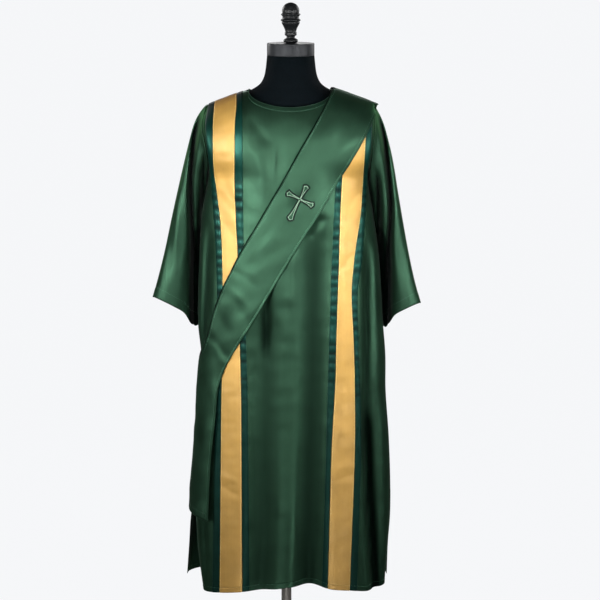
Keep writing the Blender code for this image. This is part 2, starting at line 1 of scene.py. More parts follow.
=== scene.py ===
"""Green satin dalmatic with its deacon's stole on a limbless dress form: the finished look.

Metres, +Z up, in the frame of the CAD model. Every piece of cloth is a thin closed shell on
the form of its CAD solid, with the folds, creases, puckers, hems and stitching laid on it.
"""
import math
from collections import namedtuple

import bpy
import bmesh
import numpy as np
from bpy.props import FloatProperty, FloatVectorProperty, PointerProperty
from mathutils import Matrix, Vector


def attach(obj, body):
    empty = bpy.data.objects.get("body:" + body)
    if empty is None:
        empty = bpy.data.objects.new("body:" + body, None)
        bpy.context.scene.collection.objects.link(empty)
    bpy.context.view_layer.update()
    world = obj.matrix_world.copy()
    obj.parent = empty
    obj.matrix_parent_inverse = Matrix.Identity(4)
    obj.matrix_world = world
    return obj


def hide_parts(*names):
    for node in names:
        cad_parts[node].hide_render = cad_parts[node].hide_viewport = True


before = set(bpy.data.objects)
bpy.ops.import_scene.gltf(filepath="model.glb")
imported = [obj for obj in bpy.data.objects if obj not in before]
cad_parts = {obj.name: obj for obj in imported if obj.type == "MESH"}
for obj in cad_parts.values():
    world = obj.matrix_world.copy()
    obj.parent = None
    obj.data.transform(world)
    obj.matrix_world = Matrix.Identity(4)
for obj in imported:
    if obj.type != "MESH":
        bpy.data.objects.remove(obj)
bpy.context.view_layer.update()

bl_info = {
    "name": "Dalmatic on a dress form",
    "version": (1, 0, 0),
    "blender": (4, 5, 0),
    "location": "3D View > Sidebar > Dalmatic",
    "description": "Builds the finished dalmatic, its stole and its dress form",
    "category": "Object",
}

# ------------------------------------------------------------------ the cut, as in the CAD
GAP = 0.0003
PANEL_WALL = 0.0015
BAND_WALL = 0.0011
STOLE_WALL = 0.0022
STOLE_LIFT = 0.0062
FORM_X = 0.0115
SECTION_POWER = 2.4
OVERHANG = 0.35
NECK_Z = 1.4525
NECK_RIGHT, NECK_LEFT = 0.1034, 0.1009
NECK_DROP_FRONT, NECK_DROP_BACK = 0.037, 0.016
NECK_POWER = 1.9
SHOULDER_SLOPE = 0.365
SHOULDER_ROUND = 0.16
SHOULDER_POWER = 2.8
UNDERARM_Z = 1.23
SLIT_TOP_Z = 0.45
FRONT, BACK = -1, 1
FACE_NAMES = {FRONT: "front", BACK: "back"}



def table(kind, *rows):
    """Rows of numbers with named columns."""
    return [kind(*row) for row in rows]


# Half the body's width on the wearer's right and left
Side = namedtuple("Side", "z right left")
SIDES = table(Side,
    (1.4158, 0.204, 0.201), (1.37, 0.215, 0.204), (1.285, 0.201, 0.1955), (1.23, 0.205, 0.1905),
    (1.149, 0.219, 0.203), (1.04, 0.2265, 0.218), (0.872, 0.2305, 0.229), (0.79, 0.223, 0.2355),
    (0.7, 0.228, 0.2365), (0.58, 0.232, 0.245), (0.45, 0.2375, 0.2495), (0.38, 0.237, 0.2475),
    (0.3, 0.232, 0.2405), (0.2, 0.2185, 0.233))
# How far the body reaches forwards and backwards from its sides
Depth = namedtuple("Depth", "z front back")
DEPTHS = table(Depth,
    (1.42, 0.118, 0.104), (1.23, 0.126, 0.114), (1, 0.132, 0.124), (0.8, 0.135, 0.136),
    (0.6, 0.138, 0.142), (0.4, 0.142, 0.146), (0.2, 0.146, 0.15))
# How far a panel's side edge stands forwards or backwards, at the armhole and the slit, and
# how much further the back panel spreads below the slit
Edge = namedtuple("Edge", "z front back flare_right flare_left")
EDGES = table(Edge,
    (1.416, 0.06, 0.056, 0, 0), (1.37, 0.076, 0.07, 0, 0), (1.32, 0.08, 0.074, 0, 0),
    (1.28, 0.066, 0.062, 0, 0), (1.25, 0.04, 0.038, 0, 0), (1.23, 0, 0, 0, 0), (0.45, 0, 0, 0, 0),
    (0.38, 0.016, 0.008, 0.014, 0.002), (0.3, 0.034, 0.02, 0.025, 0.004),
    (0.2, 0.052, 0.032, 0.046, 0.009))
# Distances of a gold band's edges and its ribbons' edges from the centre line
Band = namedtuple("Band", "z outer gold_out gold_in inner")
RIGHT_BAND = table(Band,
    (1.416, 0.2015, 0.1865, 0.132, 0.118), (1.375, 0.207, 0.189, 0.1355, 0.1175),
    (1.26, 0.1965, 0.1865, 0.1365, 0.117), (1.16, 0.189, 0.1735, 0.1343, 0.116),
    (1.05, 0.182, 0.167, 0.129, 0.115), (0.85, 0.18, 0.1665, 0.125, 0.11),
    (0.67, 0.186, 0.1705, 0.1217, 0.1064), (0.2, 0.195, 0.1765, 0.1212, 0.1038))
LEFT_BAND = table(Band,
    (1.416, 0.199, 0.185, 0.131, 0.117), (1.34, 0.196, 0.182, 0.129, 0.115),
    (1.255, 0.1875, 0.1768, 0.1254, 0.111), (1.16, 0.1825, 0.1705, 0.121, 0.106),
    (1.045, 0.1745, 0.1549, 0.1184, 0.102), (0.96, 0.1635, 0.1484, 0.1156, 0.099),
    (0.85, 0.166, 0.1535, 0.1126, 0.096), (0.75, 0.169, 0.1572, 0.1101, 0.093),
    (0.565, 0.1725, 0.1577, 0.1011, 0.0885), (0.2, 0.164, 0.1456, 0.0921, 0.078))
Hem = namedtuple("Hem", "x z")
FRONT_HEM = table(Hem,
    (-0.22, 0.202), (-0.12, 0.2135), (-0.03, 0.221), (0.05, 0.2315), (0.1, 0.2215), (0.145, 0.2165),
    (0.2, 0.211), (0.24, 0.218))
BACK_HEM_Z = 0.219

# A sleeve's section: the place of its outer edge, the height of its inner edge, half its
# depth, and how far its inner edge lies behind
Ring = namedtuple("Ring", "outer_x outer_z inner_z depth behind")
SLEEVES = {
    "sleeve_right": (-1, table(Ring,
        (0.206, 1.416, 1.229, 0.066, 0), (0.233, 1.388, 1.208, 0.066, 0.004),
        (0.244, 1.35, 1.182, 0.064, 0.022), (0.261, 1.283, 1.132, 0.061, 0.04),
        (0.279, 1.206, 1.076, 0.058, 0.046), (0.296, 1.13, 1.022, 0.056, 0.048),
        (0.312, 1.055, 0.968, 0.055, 0.048), (0.329, 0.987, 0.916, 0.055, 0.048),
        (0.3438, 0.9348, 0.866, 0.055, 0.048))),
    "sleeve_left": (1, table(Ring,
        (0.203, 1.416, 1.227, 0.066, 0), (0.222, 1.39, 1.206, 0.066, 0.004),
        (0.234, 1.352, 1.18, 0.064, 0.022), (0.251, 1.283, 1.13, 0.061, 0.04),
        (0.265, 1.2, 1.074, 0.058, 0.046), (0.278, 1.124, 1.02, 0.056, 0.048),
        (0.293, 1.043, 0.968, 0.055, 0.048), (0.308, 0.975, 0.914, 0.055, 0.048),
        (0.3235, 0.92, 0.864, 0.055, 0.048))),
}
SLEEVE_CLEAR = 0.0016
# The cuff: how much its front hangs below its back, and how far its inner corner sags,
# with the corner's share of the way in and its reach
CUFF_TILT, CUFF_DROP, CUFF_CORNER, CORNER_REACH = 0.014, 0.026, 0.88, 0.12
ARMHOLE_BLEND = 2

# The upper and lower edge of the stole, from the shoulder to the hip
Strip = namedtuple("Strip", "upper_x upper_z lower_x lower_z")
STOLE_ROWS = table(Strip,
    (0.1015, 1.452, 0.2119, 1.412), (0.099, 1.448, 0.21, 1.408), (0.095, 1.44, 0.2065, 1.399),
    (0.085, 1.4215, 0.1985, 1.381), (0.066, 1.389, 0.18, 1.344), (0.044, 1.352, 0.153, 1.298),
    (0.0217, 1.3154, 0.1252, 1.2553), (-0.006, 1.266, 0.098, 1.207), (-0.033, 1.218, 0.07, 1.158),
    (-0.062, 1.168, 0.04, 1.111), (-0.091, 1.118, 0.011, 1.065), (-0.1196, 1.0695, -0.017, 1.019),
    (-0.144, 1.019, -0.044, 0.973), (-0.167, 0.97, -0.07, 0.927), (-0.184, 0.923, -0.095, 0.884),
    (-0.196, 0.874, -0.121, 0.843), (-0.208, 0.828, -0.14, 0.81), (-0.22, 0.785, -0.156, 0.78))
# The stole's hanging end: the height of its edge at the side, the place of its other edge,
# and its distance from the body
Tail = namedtuple("Tail", "side_z edge_x edge_z clear")
TAIL_ROWS = table(Tail,
    (0.7845, 0.1562, 0.7795, 0.0062), (0.755, 0.165, 0.755, 0.0064), (0.715, 0.1755, 0.715, 0.007),
    (0.65, 0.181, 0.65, 0.008), (0.58, 0.188, 0.575, 0.0105), (0.5, 0.193, 0.49, 0.013),
    (0.405, 0.195, 0.385, 0.017))
TAIL_END_A = 0.985
BACK_TAIL_TUCK = 0.35

Bust = namedtuple("Bust", "z half_width front back")
BUST_ROWS = table(Bust,
    (1.5375, 0.0585, 0.0585, 0.0585), (1.505, 0.062, 0.06, 0.06), (1.486, 0.066, 0.06, 0.06),
    (1.471, 0.0735, 0.0605, 0.06), (1.462, 0.083, 0.061, 0.06), (1.456, 0.093, 0.062, 0.06),
    (1.448, 0.107, 0.064, 0.06), (1.438, 0.13, 0.066, 0.061), (1.427, 0.155, 0.069, 0.063),
    (1.414, 0.174, 0.072, 0.066), (1.395, 0.185, 0.078, 0.071), (1.36, 0.19, 0.09, 0.08),
    (1.31, 0.188, 0.102, 0.09), (1.25, 0.174, 0.11, 0.096), (1.18, 0.164, 0.111, 0.096),
    (1.1, 0.153, 0.102, 0.088), (1.02, 0.14, 0.094, 0.084), (0.94, 0.152, 0.099, 0.096),
    (0.86, 0.17, 0.106, 0.112), (0.8, 0.174, 0.106, 0.114), (0.79, 0.169, 0.101, 0.109))
CAP_RADIUS, CAP_HEIGHT = 0.0587, 0.0305
POLE_RADIUS, POLE_BOTTOM_Z = 0.0126, 0.030
BASE_RADIUS, BASE_HEIGHT = 0.170, 0.014

# ------------------------------------------------------------------ folds laid on the form
# A fold: points on its centre line from top to bottom, its reach towards the wearer's
# right and left, its depth, and the heights over which it starts and ends
Fold = namedtuple("Fold", "path right left depth start end")
FOLDS = {
    FRONT: table(Fold,
        (((0.06, 1.17), (0.056, 0.96), (0.05, 0.6), (0.04, 0.15)), 0.03, 0.034, 0.027, 0.16, 0.1),
        (((-0.05, 0.99), (-0.055, 0.82), (-0.062, 0.5), (-0.074, 0.15)), 0.03, 0.032, 0.023, 0.15, 0.1),
        (((0.19, 1.11), (0.189, 1), (0.189, 0.76), (0.192, 0.64)), 0.009, 0.012, 0.032, 0.12, 0.12),
        (((0.181, 0.76), (0.191, 0.5), (0.203, 0.3), (0.211, 0.15)), 0.008, 0.024, 0.046, 0.16, 0.06),
        (((-0.202, 1.15), (-0.205, 1.02), (-0.214, 0.86), (-0.21, 0.78)), 0.01, 0.01, 0.03, 0.12, 0.08),
        (((-0.056, 1.06), (-0.061, 0.93), (-0.064, 0.76)), 0.011, 0.012, 0.014, 0.08, 0.12),
        (((-0.006, 0.9), (-0.012, 0.5), (-0.02, 0.15)), 0.02, 0.02, 0.008, 0.14, 0.1),
        (((0.002, 1.12), (0.003, 1), (0, 0.88)), 0.012, 0.012, -0.003, 0.08, 0.08),
        (((0.03, 0.86), (0.02, 0.52), (0.012, 0.2)), 0.012, 0.012, -0.002, 0.14, 0.1),
        (((-0.093, 0.9), (-0.09, 0.64), (-0.092, 0.3)), 0.01, 0.012, 0.004, 0.14, 0.1),
        (((0.076, 0.94), (0.072, 0.64), (0.066, 0.26)), 0.01, 0.01, 0.004, 0.16, 0.1),
        (((-0.14, 0.7), (-0.148, 0.5), (-0.152, 0.22)), 0.03, 0.03, 0.004, 0.2, 0.1),
        (((0.135, 0.9), (0.128, 0.6), (0.124, 0.22)), 0.03, 0.03, 0.004, 0.2, 0.1),
        (((-0.157, 1.33), (-0.158, 1.2), (-0.15, 1.06)), 0.022, 0.026, 0.004, 0.1, 0.1),
        (((-0.075, 1.39), (-0.07, 1.26), (-0.064, 1.14)), 0.02, 0.026, -0.004, 0.1, 0.1),
        (((-0.025, 1.38), (-0.03, 1.29), (-0.04, 1.19)), 0.016, 0.018, 0.003, 0.1, 0.1),
        (((-0.215, 0.42), (-0.213, 0.3), (-0.209, 0.2)), 0.01, 0.006, 0.012, 0.1, 0.05)),
    BACK: table(Fold,
        (((-0.06, 1.09), (-0.07, 0.86), (-0.08, 0.5), (-0.086, 0.15)), 0.03, 0.034, 0.029, 0.16, 0.1),
        (((0.02, 0.96), (0.024, 0.62), (0.03, 0.15)), 0.03, 0.028, 0.023, 0.16, 0.1),
        (((0.148, 0.87), (0.16, 0.5), (0.175, 0.15)), 0.026, 0.03, 0.034, 0.16, 0.1),
        (((0.192, 1.19), (0.19, 1), (0.185, 0.78)), 0.024, 0.024, 0.035, 0.14, 0.1),
        (((-0.192, 1.18), (-0.198, 0.9), (-0.205, 0.6)), 0.024, 0.024, 0.035, 0.14, 0.1),
        (((0.06, 1.2), (0.066, 1), (0.075, 0.78)), 0.022, 0.02, 0.006, 0.14, 0.14),
        (((-0.01, 1.26), (-0.015, 1.1), (-0.022, 0.9)), 0.02, 0.02, 0.004, 0.14, 0.14),
        (((-0.14, 0.78), (-0.146, 0.5), (-0.15, 0.2)), 0.022, 0.02, 0.01, 0.14, 0.1),
        (((0.09, 0.62), (0.096, 0.42), (0.104, 0.19)), 0.016, 0.018, 0.008, 0.14, 0.1),
        (((-0.028, 0.56), (-0.03, 0.38), (-0.03, 0.19)), 0.014, 0.014, -0.004, 0.14, 0.1)),
}
# A crease: a straight soft line across the cloth, as seen from the front
Crease = namedtuple("Crease", "x0 z0 x1 z1 reach depth")
CREASES = {
    FRONT: table(Crease,
        (0.078, 1.152, 0.048, 1.098, 0.011, 0.004), (0.064, 1.17, 0.03, 1.118, 0.012, -0.0015),
        (-0.196, 1.245, -0.12, 1.17, 0.013, 0.004), (-0.19, 1.215, -0.128, 1.13, 0.012, -0.003),
        (0.19, 1.24, 0.128, 1.15, 0.012, 0.004), (0.185, 1.2, 0.13, 1.1, 0.012, -0.0025),
        (-0.102, 1.395, -0.055, 1.33, 0.012, 0.002), (-0.11, 1.345, -0.06, 1.25, 0.016, -0.002),
        (-0.175, 0.48, -0.13, 0.455, 0.008, 0.0022), (-0.176, 0.505, -0.128, 0.488, 0.008, -0.002),
        (0.158, 0.508, 0.112, 0.494, 0.008, 0.0018), (0.158, 0.53, 0.112, 0.522, 0.008, -0.0015),
        (-0.172, 1.27, -0.15, 1.215, 0.011, 0.003), (0.13, 1.235, 0.164, 1.205, 0.01, -0.0025),
        (-0.168, 1.14, -0.13, 1.09, 0.01, 0.0015), (0.15, 1.06, 0.118, 1.01, 0.01, 0.0015)),
    BACK: table(Crease,
        (-0.196, 1.25, -0.11, 1.16, 0.014, 0.004), (-0.19, 1.2, -0.1, 1.11, 0.012, -0.003),
        (0.19, 1.245, 0.11, 1.15, 0.014, 0.004), (0.186, 1.2, 0.1, 1.09, 0.012, -0.003),
        (-0.08, 1.395, 0, 1.34, 0.016, 0.0025), (0.085, 1.4, 0.005, 1.35, 0.016, 0.0025),
        (-0.16, 0.9, -0.1, 0.87, 0.012, 0.002), (0.15, 0.76, 0.09, 0.73, 0.012, 0.002)),
}
# Sleeve folds, with distances from the centre line in place of x
SLEEVE_FOLDS = {
    "sleeve_right": {
        FRONT: table(Fold,
            (((0.234, 1.4), (0.241, 1.305), (0.248, 1.22), (0.245, 1.06), (0.243, 0.8)),
             0.0065, 0.0065, 0.04, 0.06, 0.001),
            (((0.212, 1.285), (0.218, 1.23), (0.219, 1.09)), 0.006, 0.006, 0.028, 0.05, 0.06),
            (((0.238, 1.11), (0.236, 0.98), (0.234, 0.8)), 0.014, 0.012, 0.036, 0.12, 0.001),
            (((0.288, 1.18), (0.298, 1.08), (0.306, 0.96)), 0.01, 0.01, 0.004, 0.1, 0.08),
            (((0.274, 1.28), (0.28, 1.16), (0.288, 1.02)), 0.008, 0.008, -0.003, 0.1, 0.08)),
        BACK: table(Fold,
            (((0.24, 1.4), (0.25, 1.25), (0.26, 1.08), (0.268, 0.86)), 0.012, 0.014, 0.03, 0.1, 0.001),
            (((0.27, 1.2), (0.288, 1.05), (0.298, 0.9)), 0.01, 0.012, 0.012, 0.1, 0.001)),
    },
    "sleeve_left": {
        FRONT: table(Fold,
            (((0.222, 1.395), (0.233, 1.32), (0.247, 1.18), (0.245, 1.06), (0.242, 0.8)),
             0.0065, 0.0065, 0.04, 0.05, 0.001),
            (((0.21, 1.265), (0.216, 1.22), (0.219, 1.15), (0.22, 1.06)), 0.006, 0.006, 0.028, 0.05, 0.05),
            (((0.236, 1.09), (0.236, 0.98), (0.234, 0.8)), 0.012, 0.014, 0.036, 0.12, 0.001),
            (((0.264, 1.18), (0.274, 1.08), (0.286, 0.94)), 0.01, 0.01, 0.004, 0.1, 0.08),
            (((0.256, 1.26), (0.268, 1.12), (0.28, 1)), 0.008, 0.008, -0.003, 0.1, 0.08)),
        BACK: table(Fold,
            (((0.232, 1.4), (0.242, 1.25), (0.25, 1.08), (0.256, 0.86)), 0.012, 0.014, 0.028, 0.1, 0.001),
            (((0.256, 1.22), (0.27, 1.06), (0.282, 0.9)), 0.01, 0.012, 0.012, 0.1, 0.001)),
    },
}
# Creases of the stole, in front and behind
STOLE_CREASES = {
    FRONT: table(Crease,
        (0.15, 1.4, 0.06, 1.3, 0.02, 0.0012), (0.12, 1.37, 0.03, 1.24, 0.016, -0.001),
        (0.06, 1.245, -0.02, 1.16, 0.014, 0.001), (0, 1.18, -0.06, 1.08, 0.016, -0.0012),
        (-0.15, 1.03, -0.08, 0.985, 0.01, 0.001), (-0.165, 0.985, -0.1, 0.93, 0.012, -0.0012),
        (-0.19, 0.95, -0.14, 0.86, 0.014, 0.0014), (-0.14, 0.96, -0.1, 0.89, 0.01, 0.0008),
        (-0.2, 0.86, -0.15, 0.8, 0.01, 0.0016), (-0.185, 0.84, -0.16, 0.78, 0.009, -0.0014)),
    BACK: table(Crease,
        (0.15, 1.4, 0.06, 1.3, 0.02, 0.0012), (0.08, 1.3, -0.01, 1.17, 0.018, -0.0012),
        (-0.02, 1.19, -0.11, 1.04, 0.016, 0.0012), (-0.17, 0.98, -0.11, 0.91, 0.012, -0.0012)),
}


# Half the share of a crease that is full, and the share over which it fades
CREASE_MIDDLE, CREASE_FADE = 0.28, 0.22
# The slow unevenness of each cloth, as pitch and height, and its height over the chest
PANEL_WAVES, PANEL_RIPPLES, CHEST_WAVES = (0.075, 0.0016), (0.050, 0.0005), 0.0006
SLEEVE_WAVES = (0.075, 0.0016)
GOLD_WAVES = (0.030, 0.0005)
STOLE_WAVES, STOLE_SLACK = (0.070, 0.0008), (0.080, 0.0008)
# The folds' full depths, at which the shade painted in their hollows is darkest, and how slowly it darkens
PANEL_DARK, SLEEVE_DARK = (0.038, 1.5), (0.034, 1.8)


# ------------------------------------------------------------------ reading the tables
def read(keys, ends, value):
    """One smooth curve through a table's points."""
    keys, ends = np.asarray(keys, float), np.asarray(ends, float)
    if keys[0] > keys[-1]:
        keys, ends = keys[::-1], ends[::-1]
    value = np.clip(value, keys[0], keys[-1])
    near, far = np.maximum(np.arange(len(keys)) - 1, 0), np.arange(len(keys)) + 1
    far = np.minimum(far, len(keys) - 1)
    slope = (ends[far] - ends[near]) / (keys[far] - keys[near])
    i = np.clip(np.searchsorted(keys, value, side="right") - 1, 0, len(keys) - 2)
    span = keys[i + 1] - keys[i]
    t = (value - keys[i]) / span
    return ((2 * t**3 - 3 * t**2 + 1) * ends[i] + (t**3 - 2 * t**2 + t) * span * slope[i]
            + (3 * t**2 - 2 * t**3) * ends[i + 1] + (t**3 - t**2) * span * slope[i + 1])


def at(rows, field, value, key="z"):
    """A column of a table at any height between its rows."""
    return read([getattr(r, key) for r in rows], [getattr(r, field) for r in rows], value)


def along_rows(rows, k):
    """Every column of a table at row numbers and between them."""
    return (read(np.arange(len(rows)), column, k) for column in zip(*rows))


def blend(a, b, t):
    return a + (b - a) * t


def ease(t):
    t = np.clip(t, 0.0, 1.0)
    return t * t * (3 - 2 * t)


def swell(off, reach):
    """A soft rise to 1 at no distance from a line."""
    return np.exp(-(off / reach) ** 2)


def darkness(hollow, full, slow):
    """How dark the shade painted in a hollow of the cloth is, from 0 to 1, by the hollow's depth."""
    return np.clip(hollow / full, 0, 1) ** slow


def wobble(u, v, pitch, seed):
    """Slow uneven waves from -1 to 1 over two lengths in metres, the same in each run."""
    rng = np.random.default_rng(seed)
    total = 0.0
    for _ in range(7):
        angle, phase = rng.uniform(0, math.pi), rng.uniform(0, 2 * math.pi)
        turn = 2 * math.pi / (pitch * rng.uniform(0.6, 1.6))
        total = total + np.sin(turn * (u * math.cos(angle) + v * math.sin(angle)) + phase)
    return total / 4.0


# ------------------------------------------------------------------ the body's surface
def half_width(face, a, z):
    """Half the body's width at a height, on the side that the angle or distance a is on."""
    left = np.asarray(a) > 0
    width = np.where(left, at(SIDES, "left", z), at(SIDES, "right", z))
    if face == BACK:
        flare = np.where(left, at(EDGES, "flare_left", z), at(EDGES, "flare_right", z))
        width = width + np.where(z < SLIT_TOP_Z, flare, 0.0)
    return width


def edge_depth(face, z):
    """How far a panel's side edge stands from the middle, at the armhole and the slit."""
    edge = at(EDGES, FACE_NAMES[face], z)
    edge = edge * np.where(z > SLIT_TOP_Z, ease((z - UNDERARM_Z) / 0.06), ease((SLIT_TOP_Z - z) / 0.05))
    return np.where((z >= SLIT_TOP_Z) & (z <= UNDERARM_Z), 0.0, np.maximum(edge, 0.0))


def shoulder_z(x):
    neck = np.where(np.asarray(x) < 0, NECK_RIGHT, NECK_LEFT)
    return NECK_Z - SHOULDER_SLOPE * np.maximum(np.abs(x) - neck, 0.0)


def top_z(face, x):
    """The shoulder seam, or the neckline between the neck points."""
    s = np.minimum(np.abs(x) / np.where(x < 0, NECK_RIGHT, NECK_LEFT), 1.0)
    drop = NECK_DROP_FRONT if face == FRONT else NECK_DROP_BACK
    return shoulder_z(x) - drop * (1 - s**NECK_POWER) ** (1 / NECK_POWER)


def around(face, x, z):
    """Turn a distance from the centre line into the angle a: 0 in front, 1 at the side."""
    sign = np.where(x > 0, 1.0, -1.0)
    width = half_width(face, x, z)
    s = np.abs(x) / width
    inside = np.arcsin(np.minimum(s, 1.0) ** (SECTION_POWER / 2)) * 2 / math.pi
    return sign * np.where(s >= 1, 1 + (np.abs(x) - width) / OVERHANG, inside)


def fold_depth(folds, x, z):
    """How far soft folds draw the cloth in."""
    total = np.zeros(np.broadcast(x, z).shape)
    for fold in folds:
        across, heights = zip(*fold.path)
        off = x - read(heights, across, z)
        strength = ease((heights[0] - z) / fold.start) * ease((z - heights[-1]) / fold.end)
        total += fold.depth * strength * swell(off, np.where(off < 0, fold.right, fold.left))
    return total


def crease_depth(creases, x, z):
    """How far straight creases draw the cloth in, fading towards their ends."""
    total = np.zeros(np.broadcast(x, z).shape)
    for c in creases:
        way = np.array((c.x1 - c.x0, c.z1 - c.z0))
        length = np.hypot(*way)
        way /= length
        along = (x - c.x0) * way[0] + (z - c.z0) * way[1]
        off = (x - c.x0) * way[1] - (z - c.z0) * way[0]
        ends = swell(np.maximum(np.abs(along / length - 0.5) - CREASE_MIDDLE, 0), CREASE_FADE)
        total += c.depth * ends * swell(off, c.reach)
    return total


def body(face, a, z, folded=True):
    """Points of the panels' inner surface at angles a and heights z."""
    a, z = np.broadcast_arrays(np.asarray(a, float), np.asarray(z, float))
    width = half_width(face, a, z)
    turn = np.minimum(np.abs(a), 1.0) * math.pi / 2
    side, front = np.sin(turn), np.maximum(np.cos(turn), 0.0)
    x = np.sign(a) * (width * side ** (2 / SECTION_POWER) + np.maximum(np.abs(a) - 1, 0) * OVERHANG)
    roll = np.clip((shoulder_z(x) - z) / SHOULDER_ROUND, 0.0, 1.0)
    roll = (1 - (1 - roll) ** SHOULDER_POWER) ** (1 / SHOULDER_POWER)
    edge = edge_depth(face, z)
    full = at(DEPTHS, FACE_NAMES[face], z)
    depth = roll * (edge + (full - edge) * front ** (2 / SECTION_POWER))
    if folded:
        hold = 1 - np.minimum(np.abs(x) / width, 1.0) ** 8
        pitch, height = PANEL_WAVES
        height = blend(CHEST_WAVES, height, ease((UNDERARM_Z - z) / 0.5))
        waves = wobble(x, z * 0.25, pitch, 3 + face) * height
        waves = waves + wobble(x, z, PANEL_RIPPLES[0], 8 + face) * PANEL_RIPPLES[1]
        depth = depth - (fold_depth(FOLDS[face], x, z) + crease_depth(CREASES[face], x, z)
                         + waves * np.minimum(roll * 3, 1)) * hold
    return np.stack((x, face * np.maximum(depth, GAP / 2), z), -1)


def surface_normal(face, a, z):
    step = 0.002
    base = body(face, a, z, folded=False)
    over = body(face, a + step, z, folded=False) - base
    down = body(face, a, z - step, folded=False) - base
    way = np.cross(down, over)
    way /= np.linalg.norm(way, axis=-1, keepdims=True)
    return -face * way


# ------------------------------------------------------------------ grids and shells
def unit(ways):
    return ways / np.maximum(np.linalg.norm(ways, axis=-1, keepdims=True), 1e-12)


def normals(grid, ring=False):
    """Unit normals of a grid of points, rows by columns, from each point's neighbours."""
    down = np.empty_like(grid)
    down[1:-1] = grid[2:] - grid[:-2]
    down[0], down[-1] = grid[1] - grid[0], grid[-1] - grid[-2]
    if ring:
        over = np.roll(grid, -1, 1) - np.roll(grid, 1, 1)
    else:
        over = np.empty_like(grid)
        over[:, 1:-1] = grid[:, 2:] - grid[:, :-2]
        over[:, 0], over[:, -1] = grid[:, 1] - grid[:, 0], grid[:, -1] - grid[:, -2]
    return unit(np.cross(down, over))


def keep_side(grid, face):
    """Hold a panel's points on their own side of the seam's middle."""
    grid[..., 1] = face * np.maximum(face * grid[..., 1], GAP / 2)
    return grid


def lengths(grid, axis):
    """How far along a row or column each point of a grid lies, in metres."""
    steps = np.linalg.norm(np.diff(grid, axis=axis), axis=-1)
    pad = [(0, 0), (0, 0)]
    pad[axis] = (1, 0)
    return np.pad(np.cumsum(steps, axis), pad)


def piece(name, points, faces, uvs, marks, location_x=FORM_X):
    """One mesh object in the row frame, its doubles merged and its faces pointing outwards."""
    mesh = bpy.data.meshes.new(name)
    points = np.asarray(points, float) + np.array((location_x, 0.0, 0.0))
    mesh.from_pydata(points.tolist(), [], faces)
    corners = np.empty(len(mesh.loops), np.int32)
    mesh.loops.foreach_get("vertex_index", corners)
    layer = mesh.uv_layers.new(name="cloth")
    layer.data.foreach_set("uv", np.asarray(uvs, float)[corners].ravel())
    for key, values in marks.items():
        mark = mesh.attributes.new(key, "FLOAT", "POINT")
        mark.data.foreach_set("value", np.asarray(values, np.float32).ravel())
    bm = bmesh.new()
    bm.from_mesh(mesh)
    bmesh.ops.remove_doubles(bm, verts=bm.verts, dist=2e-6)
    bmesh.ops.recalc_face_normals(bm, faces=bm.faces)
    bm.to_mesh(mesh)
    bm.free()
    mesh.shade_smooth()
    obj = bpy.data.objects.new(name, mesh)
    bpy.context.scene.collection.objects.link(obj)
    return obj


def quads_of(rows, cols):
    index = np.arange(rows * cols).reshape(rows, cols)
    quads = np.stack((index[:-1, :-1], index[:-1, 1:], index[1:, 1:], index[1:, :-1]), -1)
    return index, quads.reshape(-1, 4)


def shell(name, inner, outer, hollow, ring=False, closed_sides=False):
    """A closed sheet of cloth between two like grids, with rounded rims, its size in UVs and
    the shade painted in its hollows and other dark places marked."""
    if ring:
        inner, outer, hollow = (np.concatenate((g, g[:, :1]), 1) for g in (inner, outer, hollow))
    rows, cols = inner.shape[:2]
    across = lengths(outer, 1)
    uv = np.stack((across - across[:, cols // 2:cols // 2 + 1], -lengths(outer, 0)), -1)
    index, quads = quads_of(rows, cols)
    faces = np.concatenate((quads, quads + rows * cols)).tolist()
    points = [inner.reshape(-1, 3), outer.reshape(-1, 3)]
    rim_uv, rim_at = [], []
    total = 2 * rows * cols
    runs = [[(0, j) for j in range(cols)], [(rows - 1, j) for j in range(cols)]]
    if not ring and not closed_sides:
        sides = [[(i, j) for i in range(rows)] for j in (0, cols - 1)]
        runs = [runs[0] + sides[1][1:] + runs[1][::-1][1:] + sides[0][::-1][1:]]
    for run in runs:
        i, j = np.array(run).T
        away_i, away_j = np.clip(i, 1, rows - 2), np.clip(j, 1, cols - 2)
        if ring or closed_sides:
            away_j = j
        middle = (inner[i, j] + outer[i, j]) / 2
        thick = np.linalg.norm(outer[i, j] - inner[i, j], axis=-1, keepdims=True)
        out = unit(middle - (inner[away_i, away_j] + outer[away_i, away_j]) / 2)
        points.append(middle + out * thick / 2)
        rim_uv.append(uv[i, j])
        rim_at.append(index[i, j])
        ids = total + np.arange(len(run))
        total += len(run)
        low = index[i, j]
        for a, b in ((low, ids), (ids, low + rows * cols)):
            faces += np.stack((a[:-1], a[1:], b[1:], b[:-1]), -1).tolist()
    uvs = np.concatenate([uv.reshape(-1, 2)] * 2 + rim_uv)
    hollow = hollow.ravel()
    marks = {"hollow": np.concatenate((hollow, hollow, hollow[np.concatenate(rim_at)]))}
    return piece(name, np.concatenate(points), faces, uvs, marks)


